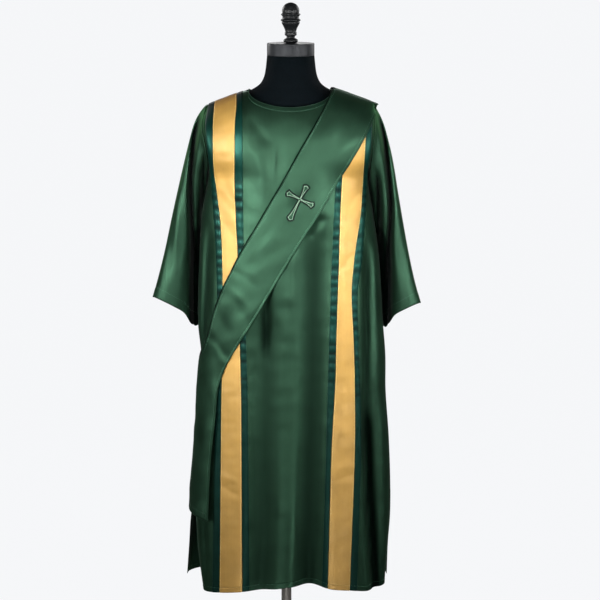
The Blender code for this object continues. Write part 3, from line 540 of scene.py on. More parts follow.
# ------------------------------------------------------------------ panels
SIDE_T = tuple(np.linspace(0, 1, 14, endpoint=False))
RIBBON_T = (0, 0.12, 0.32, 0.5, 0.68, 0.88)
GOLD_T = (0, 0.03, 0.08, 0.16, 0.27, 0.38, 0.5, 0.62, 0.73, 0.84, 0.92, 0.97)
NECK_STEPS = 56
TOP_DROPS = (0, 0.0008, 0.002, 0.0035, 0.005, 0.0065, 0.008, 0.0092, 0.010, 0.0108, 0.012, 0.0145,
             0.018, 0.022, 0.027, 0.033, 0.040, 0.050)
YOKE_ROWS, NECK_BAND_ROWS = 14, 9
LEVEL_TOP, LEVEL_END, LEVEL_STEP = 1.330, 0.300, 0.0045
HEM_TURN, HEM_LIFT, HEM_DIP, HEM_DIP_REACH = 0.012, 0.0004, 0.0006, 0.0011
HEM_RISES = (0.066, 0.054, 0.043, 0.034, 0.026, 0.020, 0.0165, 0.0145, 0.0132, HEM_TURN, 0.0108,
             0.0095, 0.0078, 0.0058, 0.0038, 0.002, 0.0008, 0)
EDGE_FIELDS = ("outer", "gold_out", "gold_in", "inner")
BAND_BASE = PANEL_WALL + GAP
# A gold band's cloth: its slack, its turned edges and the line sewn along them
GOLD_SLACK, GOLD_EDGE, GOLD_SEAM = 0.0005, (0.0003, 0.0022), (0.0006, 0.0006)
GATHERS_FADE = (0.75, 0.25)


def band_edges(z):
    """The eight edges of both bands' ribbons and gold, from the wearer's right to the left."""
    return ([-at(RIGHT_BAND, field, z) for field in EDGE_FIELDS]
            + [at(LEFT_BAND, field, z) for field in reversed(EDGE_FIELDS)])


def column_plan():
    """Each column as the band edge on its wearer's right and its share of the way on."""
    right, left = (float(band_edges(NECK_Z)[k]) for k in (3, 4))
    neck = [(x - right) / (left - right) for x in (-NECK_RIGHT, NECK_LEFT)]
    u = np.linspace(-1, 1, NECK_STEPS)
    u = blend(u, np.sin(u * math.pi / 2), 0.6)
    centre = [0, neck[0] / 2, *blend(neck[0], neck[1], (u + 1) / 2), (neck[1] + 1) / 2]
    segments = [RIBBON_T, GOLD_T, RIBBON_T, centre, RIBBON_T, GOLD_T, RIBBON_T]
    plan = [(-1, t) for t in SIDE_T]
    for k, shares in enumerate(segments):
        plan += [(k, t) for t in shares]
    return plan + [(7, t) for t in (0, *SIDE_T[1:], 1.0)]


PLAN = column_plan()
SEGMENT = np.array([k for k, _ in PLAN])
PANEL_RUNS = np.flatnonzero(np.diff(np.concatenate(([0], np.isin(SEGMENT, (-1, 3, 7)), [0]))))
BAND_SEGMENTS = {"ribbon_{}_right_outer": 0, "gold_{}_right": 1, "ribbon_{}_right_inner": 2,
                 "ribbon_{}_left_inner": 4, "gold_{}_left": 5, "ribbon_{}_left_outer": 6}


def columns(face, z):
    """The angle of every column at every height of a grid, rows by columns."""
    edges = band_edges(z)
    ends = [around(face, edges[0], z), around(face, edges[7], z)]
    a = np.empty_like(z)
    for j, (k, t) in enumerate(PLAN):
        if k < 0:
            a[:, j] = blend(-1.0, ends[0][:, j], t)
        elif k > 6:
            a[:, j] = blend(ends[1][:, j], 1.0, t)
        else:
            x = blend(edges[k][:, j], edges[k + 1][:, j], t)
            a[:, j] = np.clip(around(face, x, z[:, j]), -0.999, 0.999)
    return a


def panel_sheet(face):
    """A panel's inner grid, its normals, its hem line and the shade painted in its folds and creases by
    their depth.
    """
    wide = len(PLAN)
    seam = shoulder_z(max(SIDES[0].right, SIDES[0].left))
    x = body(face, columns(face, np.full((1, wide), seam)), SIDES[0].z)[0, :, 0]
    tops = top_z(face, x)
    rows = [tops - drop for drop in TOP_DROPS]
    rows += [blend(tops - TOP_DROPS[-1], LEVEL_TOP, t) for t in np.linspace(0, 1, YOKE_ROWS)[1:]]
    rows += [np.full(wide, z) for z in np.arange(LEVEL_TOP, LEVEL_END, -LEVEL_STEP)[1:]]
    x = body(face, columns(face, np.full((1, wide), BACK_HEM_Z)), BACK_HEM_Z)[0, :, 0]
    hem = at(FRONT_HEM, "z", x, "x") if face == FRONT else np.full(wide, BACK_HEM_Z)
    rows += [hem + rise for rise in HEM_RISES]
    z = np.array(rows)
    a = columns(face, z)
    grid = body(face, a, z)
    ways = normals(grid) * (1 if face == FRONT else -1)
    rise = z - hem
    relief = np.where(rise < HEM_TURN, HEM_LIFT, 0.0) - HEM_DIP * swell(rise - HEM_TURN, HEM_DIP_REACH)
    relief = relief * ease((1 - np.abs(a)) / 0.05)
    grid = keep_side(grid + ways * relief[..., None], face)
    x = grid[..., 0]
    # Painted shade: the satin is darkened in the panel's folds and creases, by their depth
    hollow = darkness(fold_depth(FOLDS[face], x, z) + crease_depth(CREASES[face], x, z), *PANEL_DARK)
    hem_row = len(z) - len(HEM_RISES) + HEM_RISES.index(HEM_TURN)
    return {"grid": grid, "ways": ways, "z": z, "hem_row": hem_row, "hollow": hollow}


SHEETS = {}


def sheet_of(face):
    if face not in SHEETS:
        SHEETS[face] = panel_sheet(face)
    return SHEETS[face]


def make_panel(face, name):
    s = sheet_of(face)
    outer = keep_side(s["grid"] + s["ways"] * PANEL_WALL, face)
    return shell(name, s["grid"], outer, s["hollow"])


def strip_of(face, first, last, rows, relief):
    """Part of a panel between two columns, moved out, with its edges half a seam's gap in."""
    s = sheet_of(face)
    part = np.s_[:rows, first:last + 1]
    strip = s["grid"][part] + s["ways"][part] * relief[..., None]
    strip[:, 0] += unit(strip[:, 1] - strip[:, 0]) * GAP / 2
    strip[:, -1] += unit(strip[:, -2] - strip[:, -1]) * GAP / 2
    return keep_side(strip, face)


def pucker(down, pitch, seed):
    """The gathers of a ribbon along its length, from 0 to 1."""
    phase = 2 * math.pi * down / pitch + 1.2 * wobble(down, down * 0, 0.12, seed)
    size = 0.75 + 0.40 * wobble(down, down * 0, 0.07, seed + 1)
    return 1 - (0.5 - 0.5 * np.sin(phase)) * np.clip(size, 0.25, 1)


def gold_relief(share, width, down, seed):
    """Heights of a gold band: turned edges sewn down, and slow unevenness between them."""
    edge = np.minimum(share, 1 - share) * width
    (ridge, ridge_reach), (dip, dip_reach), (pitch, height) = GOLD_EDGE, GOLD_SEAM, GOLD_WAVES
    lift = GOLD_SLACK + ridge * swell(edge, ridge_reach) - dip * swell(edge, dip_reach)
    return lift + height * (1 + wobble(share * width, down[:, None], pitch, seed)) * ease(edge / 0.01)


def ribbon_relief(share, down, look, seed):
    """Heights of a ribbon drawn up in gathers, and the shade painted between them and on its lower part.
    """
    crown = np.sin(math.pi * share) ** 0.7
    gathers = pucker(down, look.pucker_pitch, seed)
    quiet = 1 - 0.85 * ease((down - GATHERS_FADE[0]) / GATHERS_FADE[1])
    quiet = ease((down - look.pucker_start) / 0.12) * quiet
    lift = 0.0003 * crown + look.pucker_height * crown * (gathers * quiet)[:, None]
    # The second value is painted shade: between the gathers, and growing towards the bottom over the
    # ribbon's lower part
    return lift, np.maximum(0.95 * (1 - gathers) * quiet, 0.5 * ease((down - 0.50) / 0.35))[:, None]


def make_band(face, name, segment, look):
    """A gold band or a ribbon over its own columns of the panel."""
    s = sheet_of(face)
    inside = np.flatnonzero(SEGMENT == segment)
    first, last = inside[0], inside[-1] + 1
    part = np.s_[:, first:last + 1]
    grid, ones = s["grid"][part], np.ones(s["z"][part].shape)
    share = np.array([t for _, t in PLAN[first:last]] + [1.0])
    down = lengths(grid, 0)[:, len(share) // 2]
    if "gold" in name:
        width = np.linalg.norm(grid[:, -1] - grid[:, 0], axis=-1)[:, None]
        lift, below, painted_dark, shade = gold_relief(share, width, down, segment), 0, 0, 0.13
    else:
        lift, painted_dark = ribbon_relief(share, down, look, 20 + segment + 7 * face)
        below, shade = 0.8 * lift, 0.17
    inner = strip_of(face, first, last, len(grid), (BAND_BASE + below) * ones)
    outer = strip_of(face, first, last, len(grid), BAND_BASE + BAND_WALL + lift * ones)
    SHEETS[name] = {"outer": outer, "ways": s["ways"][part]}
    # Painted shade: darker at the top of the band near the shoulder, besides the panel's fold shade
    # beneath and the ribbon's shade
    top_shade = 1 - ease((down + 0.01) / shade)[:, None]
    hollow = np.maximum.reduce((s["hollow"][part], top_shade * ones, painted_dark * ones))
    return shell(name, inner, outer, hollow)


def neck_band_columns():
    """The first and last of the panel's columns between the neck points."""
    centre = np.flatnonzero(SEGMENT == 3)
    return centre[0] + 2, centre[0] + 1 + NECK_STEPS


def make_neck_band(face, name):
    """The facing turned over the neckline, with a soft round."""
    first, last = neck_band_columns()
    shape = (NECK_BAND_ROWS, last - first + 1)
    drops = np.array(TOP_DROPS[:NECK_BAND_ROWS])[:, None]
    lift = 0.0002 * np.sin(np.clip(drops / drops[-1], 0, 1) * math.pi) ** 0.5
    inner = strip_of(face, first, last, shape[0], np.full(shape, BAND_BASE))
    outer = strip_of(face, first, last, shape[0], BAND_BASE + BAND_WALL + lift * np.ones(shape))
    SHEETS[name] = {"outer": outer, "ways": sheet_of(face)["ways"][:shape[0], first:last + 1]}
    return shell(name, inner, outer, np.zeros(shape))


# ------------------------------------------------------------------ sleeves
SLEEVE_ROUND, SLEEVE_LONG = 160, 104
ARMHOLE_DROPS = (0, 0.003, 0.010, 0.025, 0.050)
ARMHOLE_LEVELS = (1.330, 1.290, 1.258, UNDERARM_Z)
CUFF_TURN, CUFF_LIFT, CUFF_DIP = 0.026, 0.0003, 0.0005
CAP_EASE, CAP_START, CAP_END = 0.0010, 0.004, 0.016
# How much closer the rows lie at both ends, how much of the cuff's tilt its back takes, how
# deep a fold may go, and where shade is painted on the sleeve's front beside the body
CROWDING, BACK_TILT, DENT_LIMIT = 0.012, 0.4, 0.45
BESIDE_REACH, BESIDE_TOP_Z = 0.030, 1.15


def sleeve_sheet(name, sign, rings):
    """A sleeve's inner grid from the armhole seam to the cuff, and the shade painted in its folds and
    beside the body.
    """
    heights = [SIDES[0].z - drop for drop in ARMHOLE_DROPS] + list(ARMHOLE_LEVELS)
    angle = np.linspace(0, 2 * math.pi, SLEEVE_ROUND, endpoint=False)[None]
    turn = np.minimum(angle, 2 * math.pi - angle)
    seam_z = read(np.linspace(0, math.pi, len(heights)), heights, turn)
    ends = np.linspace(0, 1, SLEEVE_LONG)
    k = (ends + CROWDING * np.sin(2 * math.pi * ends))[:, None] * (len(rings) - 1)
    ox, oz, iz, depth, behind = along_rows(rings, k)
    across, deep = np.cos(angle), np.sin(angle)
    t, share = k / (len(rings) - 1), (1 - across) / 2
    ix = half_width(BACK, sign, iz) + SLEEVE_CLEAR
    x = blend(ox, ix, share)
    z = blend(oz, iz, share) + CUFF_TILT * np.maximum(deep, -BACK_TILT * deep) * t * t
    z = z - CUFF_DROP * t**6 * swell(share - CUFF_CORNER, CORNER_REACH)
    y = -depth * deep
    hollow = np.zeros(y.shape)
    for face in (FRONT, BACK):
        dent = fold_depth(SLEEVE_FOLDS[name][face], x, z)
        dent = dent + wobble(x * 1.6, z * 0.4, SLEEVE_WAVES[0], 31 + face) * SLEEVE_WAVES[1]
        dent = dent * ease(np.abs(deep) / 0.45)
        here = (deep > 0) == (face == FRONT)
        lowest = -DENT_LIMIT * depth * np.abs(deep)
        y = np.where(here, face * np.maximum(np.abs(y) - dent, lowest), y)
        hollow = np.where(here, dent, hollow)
    # Painted shade on the sleeve's front where it lies beside the body, below the underarm, added to the
    # shade painted in its folds
    shade_beside = ease((half_width(FRONT, sign, z) + BESIDE_REACH - x) / 0.012)
    shade_beside = shade_beside * ease((BESIDE_TOP_Z - z) / 0.09) * (deep > 0)
    hollow = np.maximum(hollow, 0.06 * shade_beside)
    free = np.stack((sign * x, y + behind * share, z), -1)
    front = (deep >= 0)[..., None]
    edge = np.where(front, body(FRONT, sign * 1.0, seam_z, False), body(BACK, sign * 1.0, seam_z, False))
    spread = GAP + PANEL_WALL * (1 + np.maximum(-across, 0))
    seam_y = np.where(np.abs(deep) > 1e-6, edge[..., 1], 0.0)
    seam = np.stack((edge[..., 0] + sign * spread, seam_y, seam_z), -1)
    grid = blend(seam, free, ease(k / ARMHOLE_BLEND)[..., None])
    return grid, darkness(hollow, *SLEEVE_DARK)


def make_sleeve(name, sign, rings):
    grid, hollow = sleeve_sheet(name, sign, rings)
    ways = normals(grid, ring=True) * (-1 if sign > 0 else 1)
    down = lengths(grid, 0)
    left = down[-1:] - down
    relief = np.where(left < CUFF_TURN, CUFF_LIFT, 0) - CUFF_DIP * swell(left - CUFF_TURN, 0.002)
    relief = relief + CAP_EASE * (1 - swell(down, CAP_START)) * swell(down, CAP_END)
    grid = grid + ways * relief[..., None]
    outer = grid + ways * PANEL_WALL
    outer[0, :, 0] = sign * np.maximum(sign * outer[0, :, 0], sign * grid[0, :, 0])
    SHEETS[name] = {"grid": grid, "ways": ways, "down": down}
    return shell(name + "_satin", grid, outer, hollow, ring=True)


# ------------------------------------------------------------------ stole
STOLE_T = np.concatenate(((0, 0.003, 0.010, 0.020, 0.035, 0.055), np.linspace(0.08, 0.92, 34),
                          (0.945, 0.965, 0.980, 0.990, 0.997, 1.0)))
STOLE_LONG, TAIL_LONG = 190, 120
# How far the shadow painted along the stole's upper edge and its lower edge reaches
UPPER_DARK, LOWER_DARK = 0.0034, 0.0015
SHOULDER_ROWS = 9
STOLE_EDGE, EDGE_RELIEF = 0.0030, 0.0005
EDGE_FOLD, EDGE_SEAM, CROWN = (0.0022, 0.0016), (0.0062, 0.0012), (0.0007, 0.030)


def stole_lifts(t, width, waves):
    """Inner and outer heights of the stole's lens-like section over the body."""
    edge = np.minimum(t, 1 - t) * width
    round_off = np.sqrt(np.clip(1 - (1 - np.minimum(edge / STOLE_EDGE, 1)) ** 2, 0, 1))
    fold, seam = (swell(edge - place, reach) for place, reach in (EDGE_FOLD, EDGE_SEAM))
    fold, crown = EDGE_RELIEF * (fold - seam), CROWN[0] * ease(edge / CROWN[1])
    middle = STOLE_WALL / 2
    return middle - middle * round_off, middle + (middle + fold + crown + waves) * round_off


def stole_angles(face):
    """The stole over the panel: angle and height over its length and breadth."""
    s = np.linspace(0, len(STOLE_ROWS) - 1, STOLE_LONG)[:, None]
    ux, uz, lx, lz = along_rows(STOLE_ROWS, s)
    x, z = blend(ux, lx, STOLE_T[None]), blend(uz, lz, STOLE_T[None])
    z = np.minimum(z, shoulder_z(x))
    return around(face, x, z), z


def tail_angles(face):
    """The stole's tail below the hip: angle, height and distance from the stole's own lift."""
    s = np.linspace(0, len(TAIL_ROWS) - 1, TAIL_LONG)[1:, None]
    side_z, edge_x, edge_z, clear = along_rows(TAIL_ROWS, s)
    near = around(face, -edge_x, edge_z)
    t = STOLE_T[None]
    tuck = BACK_TAIL_TUCK if face == BACK else 1.0
    return blend(-TAIL_END_A, near, t), blend(side_z, edge_z, t), (clear - STOLE_LIFT) * tuck + 0 * t


def evened(upper, lower):
    """The stole's and its tail's rows as one grid, smoothed where they meet."""
    values, centre, reach = np.concatenate((upper, lower)), STOLE_LONG, 7
    steps = np.arange(-3 * reach, 3 * reach + 1)
    weights = np.exp(-(steps / reach) ** 2)
    count = np.arange(len(values))
    rows = np.clip(count[:, None] + steps, 0, len(values) - 1)
    soft = np.einsum("rkc,k->rc", values[rows], weights / weights.sum())
    return blend(values, soft, np.exp(-((count - centre) / (2.6 * reach)) ** 4)[:, None])


def laid(face, a, z, lift):
    """Points so far out from the body's smooth form."""
    return body(face, a, z, folded=False) + surface_normal(face, a, z) * lift[..., None]


def stole_waves(face, x, z):
    """The stole's unevenness and creases, slacker where its end hangs free."""
    (pitch, height), (slack_pitch, slack_height) = STOLE_WAVES, STOLE_SLACK
    slack = ease((0.80 - z) / 0.10) * wobble(x * 2, z * 0.5, slack_pitch, 51 + face) * slack_height
    return wobble(x, z, pitch, 41 + face) * height - crease_depth(STOLE_CREASES[face], x, z) + slack


def over_shoulder(sheet, face, lift):
    """A stole sheet with rows added at its head, that bring it over the shoulder to the seam."""
    head = sheet[:1]
    turn = np.linspace(0, math.pi / 2, SHOULDER_ROWS, endpoint=False)[:, None]
    seam_z = shoulder_z(head[..., 0]) + lift
    rows = np.stack((head[..., 0] + 0 * turn, blend(face * GAP / 2, head[..., 1], np.sin(turn)),
                     blend(head[..., 2], seam_z, np.cos(turn))), -1)
    return np.concatenate((rows, sheet))


def headed(values):
    """Values for each row of the stole, with the head's repeated over the added rows."""
    return np.concatenate((np.repeat(values[:1], SHOULDER_ROWS, 0), values))


def make_stole(face, name):
    """The stole from the shoulder to the end of its tail, in one length of cloth."""
    upper, lower = stole_angles(face), tail_angles(face)
    a, z, clear = (evened(*rows) for rows in zip((*upper, 0 * upper[0]), lower))
    base = body(face, a, z, False)
    width = lengths(base, 1)[:, -1:]
    waves = stole_waves(face, base[..., 0], z)
    inner, outer = (over_shoulder(keep_side(laid(face, a, z, STOLE_LIFT + clear + lift), face), face,
                                  STOLE_LIFT + lift[:1])
                    for lift in stole_lifts(STOLE_T[None], width, waves))
    width, waves = headed(width), headed(waves)
    SHEETS[name] = {"outer": outer, "ways": headed(surface_normal(face, a, z)), "width": width}
    edge = STOLE_T[None] * width
    # Painted shadow along the stole's upper edge and, half as dark, its lower edge, and painted shade in
    # the troughs of its waves and creases
    painted_dark = np.exp(-(edge / UPPER_DARK) ** 4) + 0.5 * swell(width - edge, LOWER_DARK)
    hollow = np.clip(np.clip(-waves / 0.004, 0, 0.6) + painted_dark, 0, 1)
    return shell(name, inner, outer, hollow, closed_sides=True)


# ------------------------------------------------------------------ dress form
def lathe(name, profile, steps, location_x=0.0, sharp=40):
    """A turned piece from its outer profile, listed from top to bottom as radius, height."""
    profile = np.array(profile, float)
    angle = np.linspace(0, 2 * math.pi, steps + 1)[None]
    radius, height = profile[:, :1], profile[:, 1:]
    grid = np.stack((radius * np.cos(angle), radius * np.sin(angle), height + 0 * angle), -1)
    return closed_loft(name, grid, location_x, sharp)


def closed_loft(name, grid, location_x, sharp):
    rows, cols = grid.shape[:2]
    down = lengths(grid, 0).max(1, keepdims=True) + 0 * grid[..., 0]
    turn = np.linspace(0, 1, cols)[None] * 2 * math.pi * 0.1 + 0 * grid[..., 0]
    uv = np.stack((turn, -down), -1).reshape(-1, 2)
    obj = piece(name, grid.reshape(-1, 3), quads_of(rows, cols)[1].tolist(), uv, {}, location_x)
    obj.data.set_sharp_from_angle(angle=math.radians(sharp))
    return obj


def arc(radius_at, z_at, radius, start, end, count):
    angles = [math.radians(blend(start, end, k / count)) for k in range(count + 1)]
    return [(radius_at + radius * math.cos(t), z_at + radius * math.sin(t)) for t in angles]


def make_finial():
    """An egg on a stem of turned beads and a cup, from its tip to its foot."""
    foot = BUST_ROWS[0].z + GAP + CAP_HEIGHT + GAP
    egg = [(0.0215 * math.sin(t), 0.0790 + 0.0205 * math.cos(t))
           for t in np.linspace(0, math.pi / 2, 22)]
    cup = [(blend(0.0226, 0.0140, float(ease(k / 14)) ** 0.8), blend(0.0510, 0.0285, k / 14))
           for k in range(15)]
    profile = (egg + [(0.0206, 0.0735)] + arc(0.0218, 0.0700, 0.0024, 70, -70, 10)
               + [(0.0208, 0.0664), (0.0206, 0.0645), (0.0208, 0.0598)]
               + arc(0.0222, 0.0562, 0.0024, 70, -70, 10) + [(0.0216, 0.0528)] + cup
               + [(0.0146, 0.0268), (0.0149, 0.0258), (0.0149, 0.0204), (0.0146, 0.0192),
                  (0.0118, 0.0176), (0.0105, 0.0158), (0.0103, 0.0140), (0.0106, 0.0124)]
               + arc(0.0128, 0.0056, 0.0052, 75, -70, 14) + [(0.0132, 0.0004), (0.0128, 0), (0.0, 0)])
    return lathe("turned_finial", [(radius, foot + z) for radius, z in profile], 96, FORM_X, 60)


def make_cap():
    z = BUST_ROWS[0].z + GAP
    top = z + CAP_HEIGHT
    rim = arc(CAP_RADIUS - 0.0014, top - 0.0014, 0.0014, 90, 0, 5)
    foot = arc(CAP_RADIUS - 0.0014, z + 0.0014, 0.0014, 0, -90, 5)
    profile = [(0.0, top), (0.014, top), (CAP_RADIUS - 0.004, top)] + rim
    profile += [(CAP_RADIUS, top - 0.010), (CAP_RADIUS, z + 0.010)] + foot + [(0.0, z)]
    return lathe("bust_neck_cap", profile, 128, FORM_X, 40)


def make_bust():
    """Smooth oval sections from the neck to the hips, closed at both ends."""
    z = np.concatenate((np.linspace(1.5375, 1.40, 60), np.linspace(1.396, 0.80, 90),
                        np.linspace(0.799, 0.790, 6)))[:, None]
    angle = np.linspace(0, 2 * math.pi, 121)[None]
    half, front, back = (at(BUST_ROWS, f, z) for f in ("half_width", "front", "back"))
    deep = np.where(np.sin(angle) > 0, back, front)
    grid = np.stack((half * np.cos(angle), deep * np.sin(angle), z + 0 * angle), -1)
    top, bottom = (np.stack((0 * angle, 0 * angle, 0 * angle + end), -1) for end in (z[0, 0], z[-1, 0]))
    return closed_loft("padded_bust", np.concatenate((top, grid, bottom)), FORM_X, 50)


def make_pole():
    top, edge = BUST_ROWS[-1].z - GAP, 0.0006
    profile = [(0.0, top), (POLE_RADIUS - edge, top), (POLE_RADIUS, top - edge),
               (POLE_RADIUS, POLE_BOTTOM_Z + edge), (POLE_RADIUS - edge, POLE_BOTTOM_Z),
               (0.0, POLE_BOTTOM_Z)]
    return lathe("stand_pole", profile, 64)


def make_base():
    collar = POLE_BOTTOM_Z - GAP
    profile = ([(0.0, collar), (0.0145, collar), (0.0255, collar)]
               + arc(0.0265, collar - 0.0025, 0.0025, 90, 0, 5)
               + [(0.0293, BASE_HEIGHT + 0.004), (0.0302, BASE_HEIGHT + 0.0015), (0.0340, BASE_HEIGHT),
                  (0.080, BASE_HEIGHT - 0.0008), (BASE_RADIUS - 0.010, BASE_HEIGHT - 0.0028)]
               + arc(BASE_RADIUS - 0.0042, BASE_HEIGHT - 0.0072, 0.0042, 84, 0, 7)
               + [(BASE_RADIUS, 0.0018), (BASE_RADIUS - 0.0018, 0.0), (0.0, 0.0)])
    return lathe("stand_base", profile, 160, 0.0, 40)


# ------------------------------------------------------------------ stitching
THREAD_LIFT, UNEVEN, STITCH_SEED = 0.0002, 0.2, 5
# The stole's stitching: how far in from its edges it lies, the rows that it leaves free at the
# shoulder and at the end, and the columns between it and each edge across the end
STOLE_SEAM_IN, SEAM_START_ROW, SEAM_END_ROWS, SEAM_COLUMNS = 0.0065, 12, 4, 6
def socket_id(tree, name):
    """The identifier of one of a tree's inputs."""
    return next(s.identifier for s in tree.interface.items_tree
                if s.item_type == "SOCKET" and s.in_out == "INPUT" and s.name == name)


def thread_tree():
    """Threads laid at an even pitch on lines: along them, or across them at a turn."""
    tree = bpy.data.node_groups.get("laid_threads")
    if tree:
        return tree
    tree = bpy.data.node_groups.new("laid_threads", "GeometryNodeTree")
    for name, kind in (("Geometry", "Geometry"), ("Pitch", "Float"), ("Length", "Float"),
                       ("Radius", "Float"), ("Turn", "Float"), ("Uneven", "Float"), ("Seed", "Int"),
                       ("Thread", "Material")):
        tree.interface.new_socket(name, in_out="INPUT", socket_type="NodeSocket" + kind)
    tree.interface.new_socket("Geometry", in_out="OUTPUT", socket_type="NodeSocketGeometry")
    given = tree.nodes.new("NodeGroupInput").outputs

    def add(kind, inputs=None, out=0, **settings):
        return wire(tree, kind, inputs, **settings).outputs[out]

    def number(operation, *values):
        return add("ShaderNodeMath", dict(enumerate(values)), operation=operation)

    def ways(operation, first, second):
        return add("ShaderNodeVectorMath", {0: first, "Scale" if operation == "SCALE" else 1: second},
                   operation=operation)

    curve = add("GeometryNodeMeshToCurve", {0: given["Geometry"]})
    even = add("GeometryNodeResampleCurve", {"Curve": curve, "Length": given["Pitch"]}, mode="LENGTH")
    dots = wire(tree, "GeometryNodeCurveToPoints", {"Curve": even}, mode="EVALUATED").outputs
    surface = add("GeometryNodeInputNamedAttribute", {"Name": "surface"}, data_type="FLOAT_VECTOR")
    sideways = ways("CROSS_PRODUCT", surface, dots["Tangent"])
    along = ways("SCALE", dots["Tangent"], number("COSINE", given["Turn"]))
    over = ways("SCALE", sideways, number("SINE", given["Turn"]))
    turn = add("FunctionNodeAlignRotationToVector", {"Vector": ways("ADD", along, over)}, axis="Z")
    chance = add("FunctionNodeRandomValue", {"Seed": given["Seed"]}, 1, data_type="FLOAT")
    change = number("MULTIPLY_ADD", number("SUBTRACT", chance, 0.5), given["Uneven"], 1.0)
    half = number("MULTIPLY", number("MULTIPLY", given["Length"], 0.5), change)
    size = add("ShaderNodeCombineXYZ", {0: given["Radius"], 1: given["Radius"], 2: half})
    bead = add("GeometryNodeMeshUVSphere", {"Segments": 6, "Rings": 5, "Radius": 1.0})
    laid_on = add("GeometryNodeInstanceOnPoints", {"Points": dots["Points"], "Instance": bead,
                                                   "Rotation": turn, "Scale": size})
    real = add("GeometryNodeRealizeInstances", {0: laid_on})
    smooth = add("GeometryNodeSetShadeSmooth", {"Geometry": real})
    dyed = add("GeometryNodeSetMaterial", {"Geometry": smooth, "Material": given["Thread"]})
    tree.links.new(dyed, tree.nodes.new("NodeGroupOutput").inputs[0])
    return tree


Line = namedtuple("Line", "points ways")


def stitched(name, lines, **settings):
    """Lines of stitches as one plain mesh."""
    edges, end = [], 0
    for line in lines:
        start, end = end, end + len(line.points)
        edges += [(k, k + 1) for k in range(start, end - 1)]
    points, ways = (np.concatenate([line[k] for line in lines]) for k in range(2))
    mesh = bpy.data.meshes.new(name + "_lines")
    mesh.from_pydata((points + np.array((FORM_X, 0, 0))).tolist(), edges, [])
    mesh.attributes.new("surface", "FLOAT_VECTOR", "POINT").data.foreach_set("vector", ways.ravel())
    source = bpy.data.objects.new(name + "_lines", mesh)
    bpy.context.scene.collection.objects.link(source)
    sewing = source.modifiers.new("threads", "NODES")
    sewing.node_group = thread_tree()
    for key, value in settings.items():
        sewing[socket_id(sewing.node_group, key)] = value
    depsgraph = bpy.context.evaluated_depsgraph_get()
    depsgraph.update()
    plain = bpy.data.meshes.new_from_object(source.evaluated_get(depsgraph))
    plain.name = name
    bpy.data.objects.remove(source)
    obj = bpy.data.objects.new(name, plain)
    bpy.context.scene.collection.objects.link(obj)
    return obj


def laid_line(points, ways, lift=THREAD_LIFT):
    return Line(points + ways * lift, ways)


def hem_lines(face, place):
    """The hem's stitching over the panel and, where they cross it, over its bands."""
    s = sheet_of(face)
    row = s["hem_row"]
    lines = []
    for first, last in zip(PANEL_RUNS[::2], PANEL_RUNS[1::2]):
        part = np.s_[row, first:last]
        lines.append(laid_line(s["grid"][part], s["ways"][part], PANEL_WALL + THREAD_LIFT))
    for pattern in BAND_SEGMENTS:
        band = SHEETS[pattern.format(place) + "_cloth"]
        lines.append(laid_line(band["outer"][row], band["ways"][row]))
    return lines


def slit_lines(face):
    """Stitching down both edges of a panel below the side slits' tops."""
    s = sheet_of(face)
    low = s["z"][:, 0] < SLIT_TOP_Z
    return [laid_line(s["grid"][low, j], s["ways"][low, j], PANEL_WALL + THREAD_LIFT) for j in (1, -2)]


def cuff_line(name):
    """Stitching round a cuff at the depth of its turning."""
    sheet = SHEETS[name]
    left = sheet["down"][-1:] - sheet["down"]
    row = int(np.argmin(np.abs(left.mean(1) - CUFF_TURN)))
    ring = np.concatenate((sheet["grid"][row], sheet["grid"][row, :1]))
    ways = np.concatenate((sheet["ways"][row], sheet["ways"][row, :1]))
    return laid_line(ring, ways, PANEL_WALL + THREAD_LIFT)


def stole_edge_lines(sheet):
    """Stitching along both edges of the stole and across its end."""
    outer, ways, width = sheet["outer"], sheet["ways"], sheet["width"][:, 0]
    rows = np.arange(len(outer))[SEAM_START_ROW:-SEAM_END_ROWS]
    lines = []
    for share in (STOLE_SEAM_IN / width, 1 - STOLE_SEAM_IN / width):
        at_column = np.interp(share[rows], STOLE_T, np.arange(len(STOLE_T)))
        j = np.minimum(at_column.astype(int), len(STOLE_T) - 2)
        part = (at_column - j)[:, None]
        points = blend(outer[rows, j], outer[rows, j + 1], part)
        lines.append(laid_line(points, ways[rows, j]))
    across = np.s_[-SEAM_END_ROWS, SEAM_COLUMNS:-SEAM_COLUMNS]
    return lines + [laid_line(outer[across], ways[across])]


# The cross: half its outline from the crossing to the tip of an arm, as shares of the
# arm's length along it, and distances from its centre line
Outline = namedtuple("Outline", "along across")
ARM = table(Outline,
    (0.05, 0.002), (0.3, 0.0024), (0.55, 0.0034), (0.76, 0.005), (0.86, 0.0066), (0.905, 0.0078),
    (0.93, 0.0056), (0.955, 0.004), (0.98, 0.0026), (1, 0))
CROSS = {"x": 0.0227, "z": 1.1959, "turn": -27.2, "up": 0.0372, "down": 0.0575, "side": 0.0360}
CROSS_LIFT, ARM_STEPS = 0.0008, 12
# How far the cross's silver line and its dark lines lie out from its outline
SILVER_OUT, DARK_OUT = -0.0013, (0.0002, 0.0011, 0.0020)


def cross_point(along, across, turn):
    """A point on the stole, from its place on an arm that lies at a turn round the cross."""
    turn = math.radians(CROSS["turn"] + turn)
    x = CROSS["x"] + along * math.sin(-turn) + across * math.cos(turn)
    z = CROSS["z"] + along * math.cos(turn) + across * math.sin(turn)
    a = around(FRONT, x, z)
    lift = STOLE_LIFT + STOLE_WALL + CROSS_LIFT + stole_waves(FRONT, x, z)
    return laid(FRONT, a, z, lift), surface_normal(FRONT, a, z)


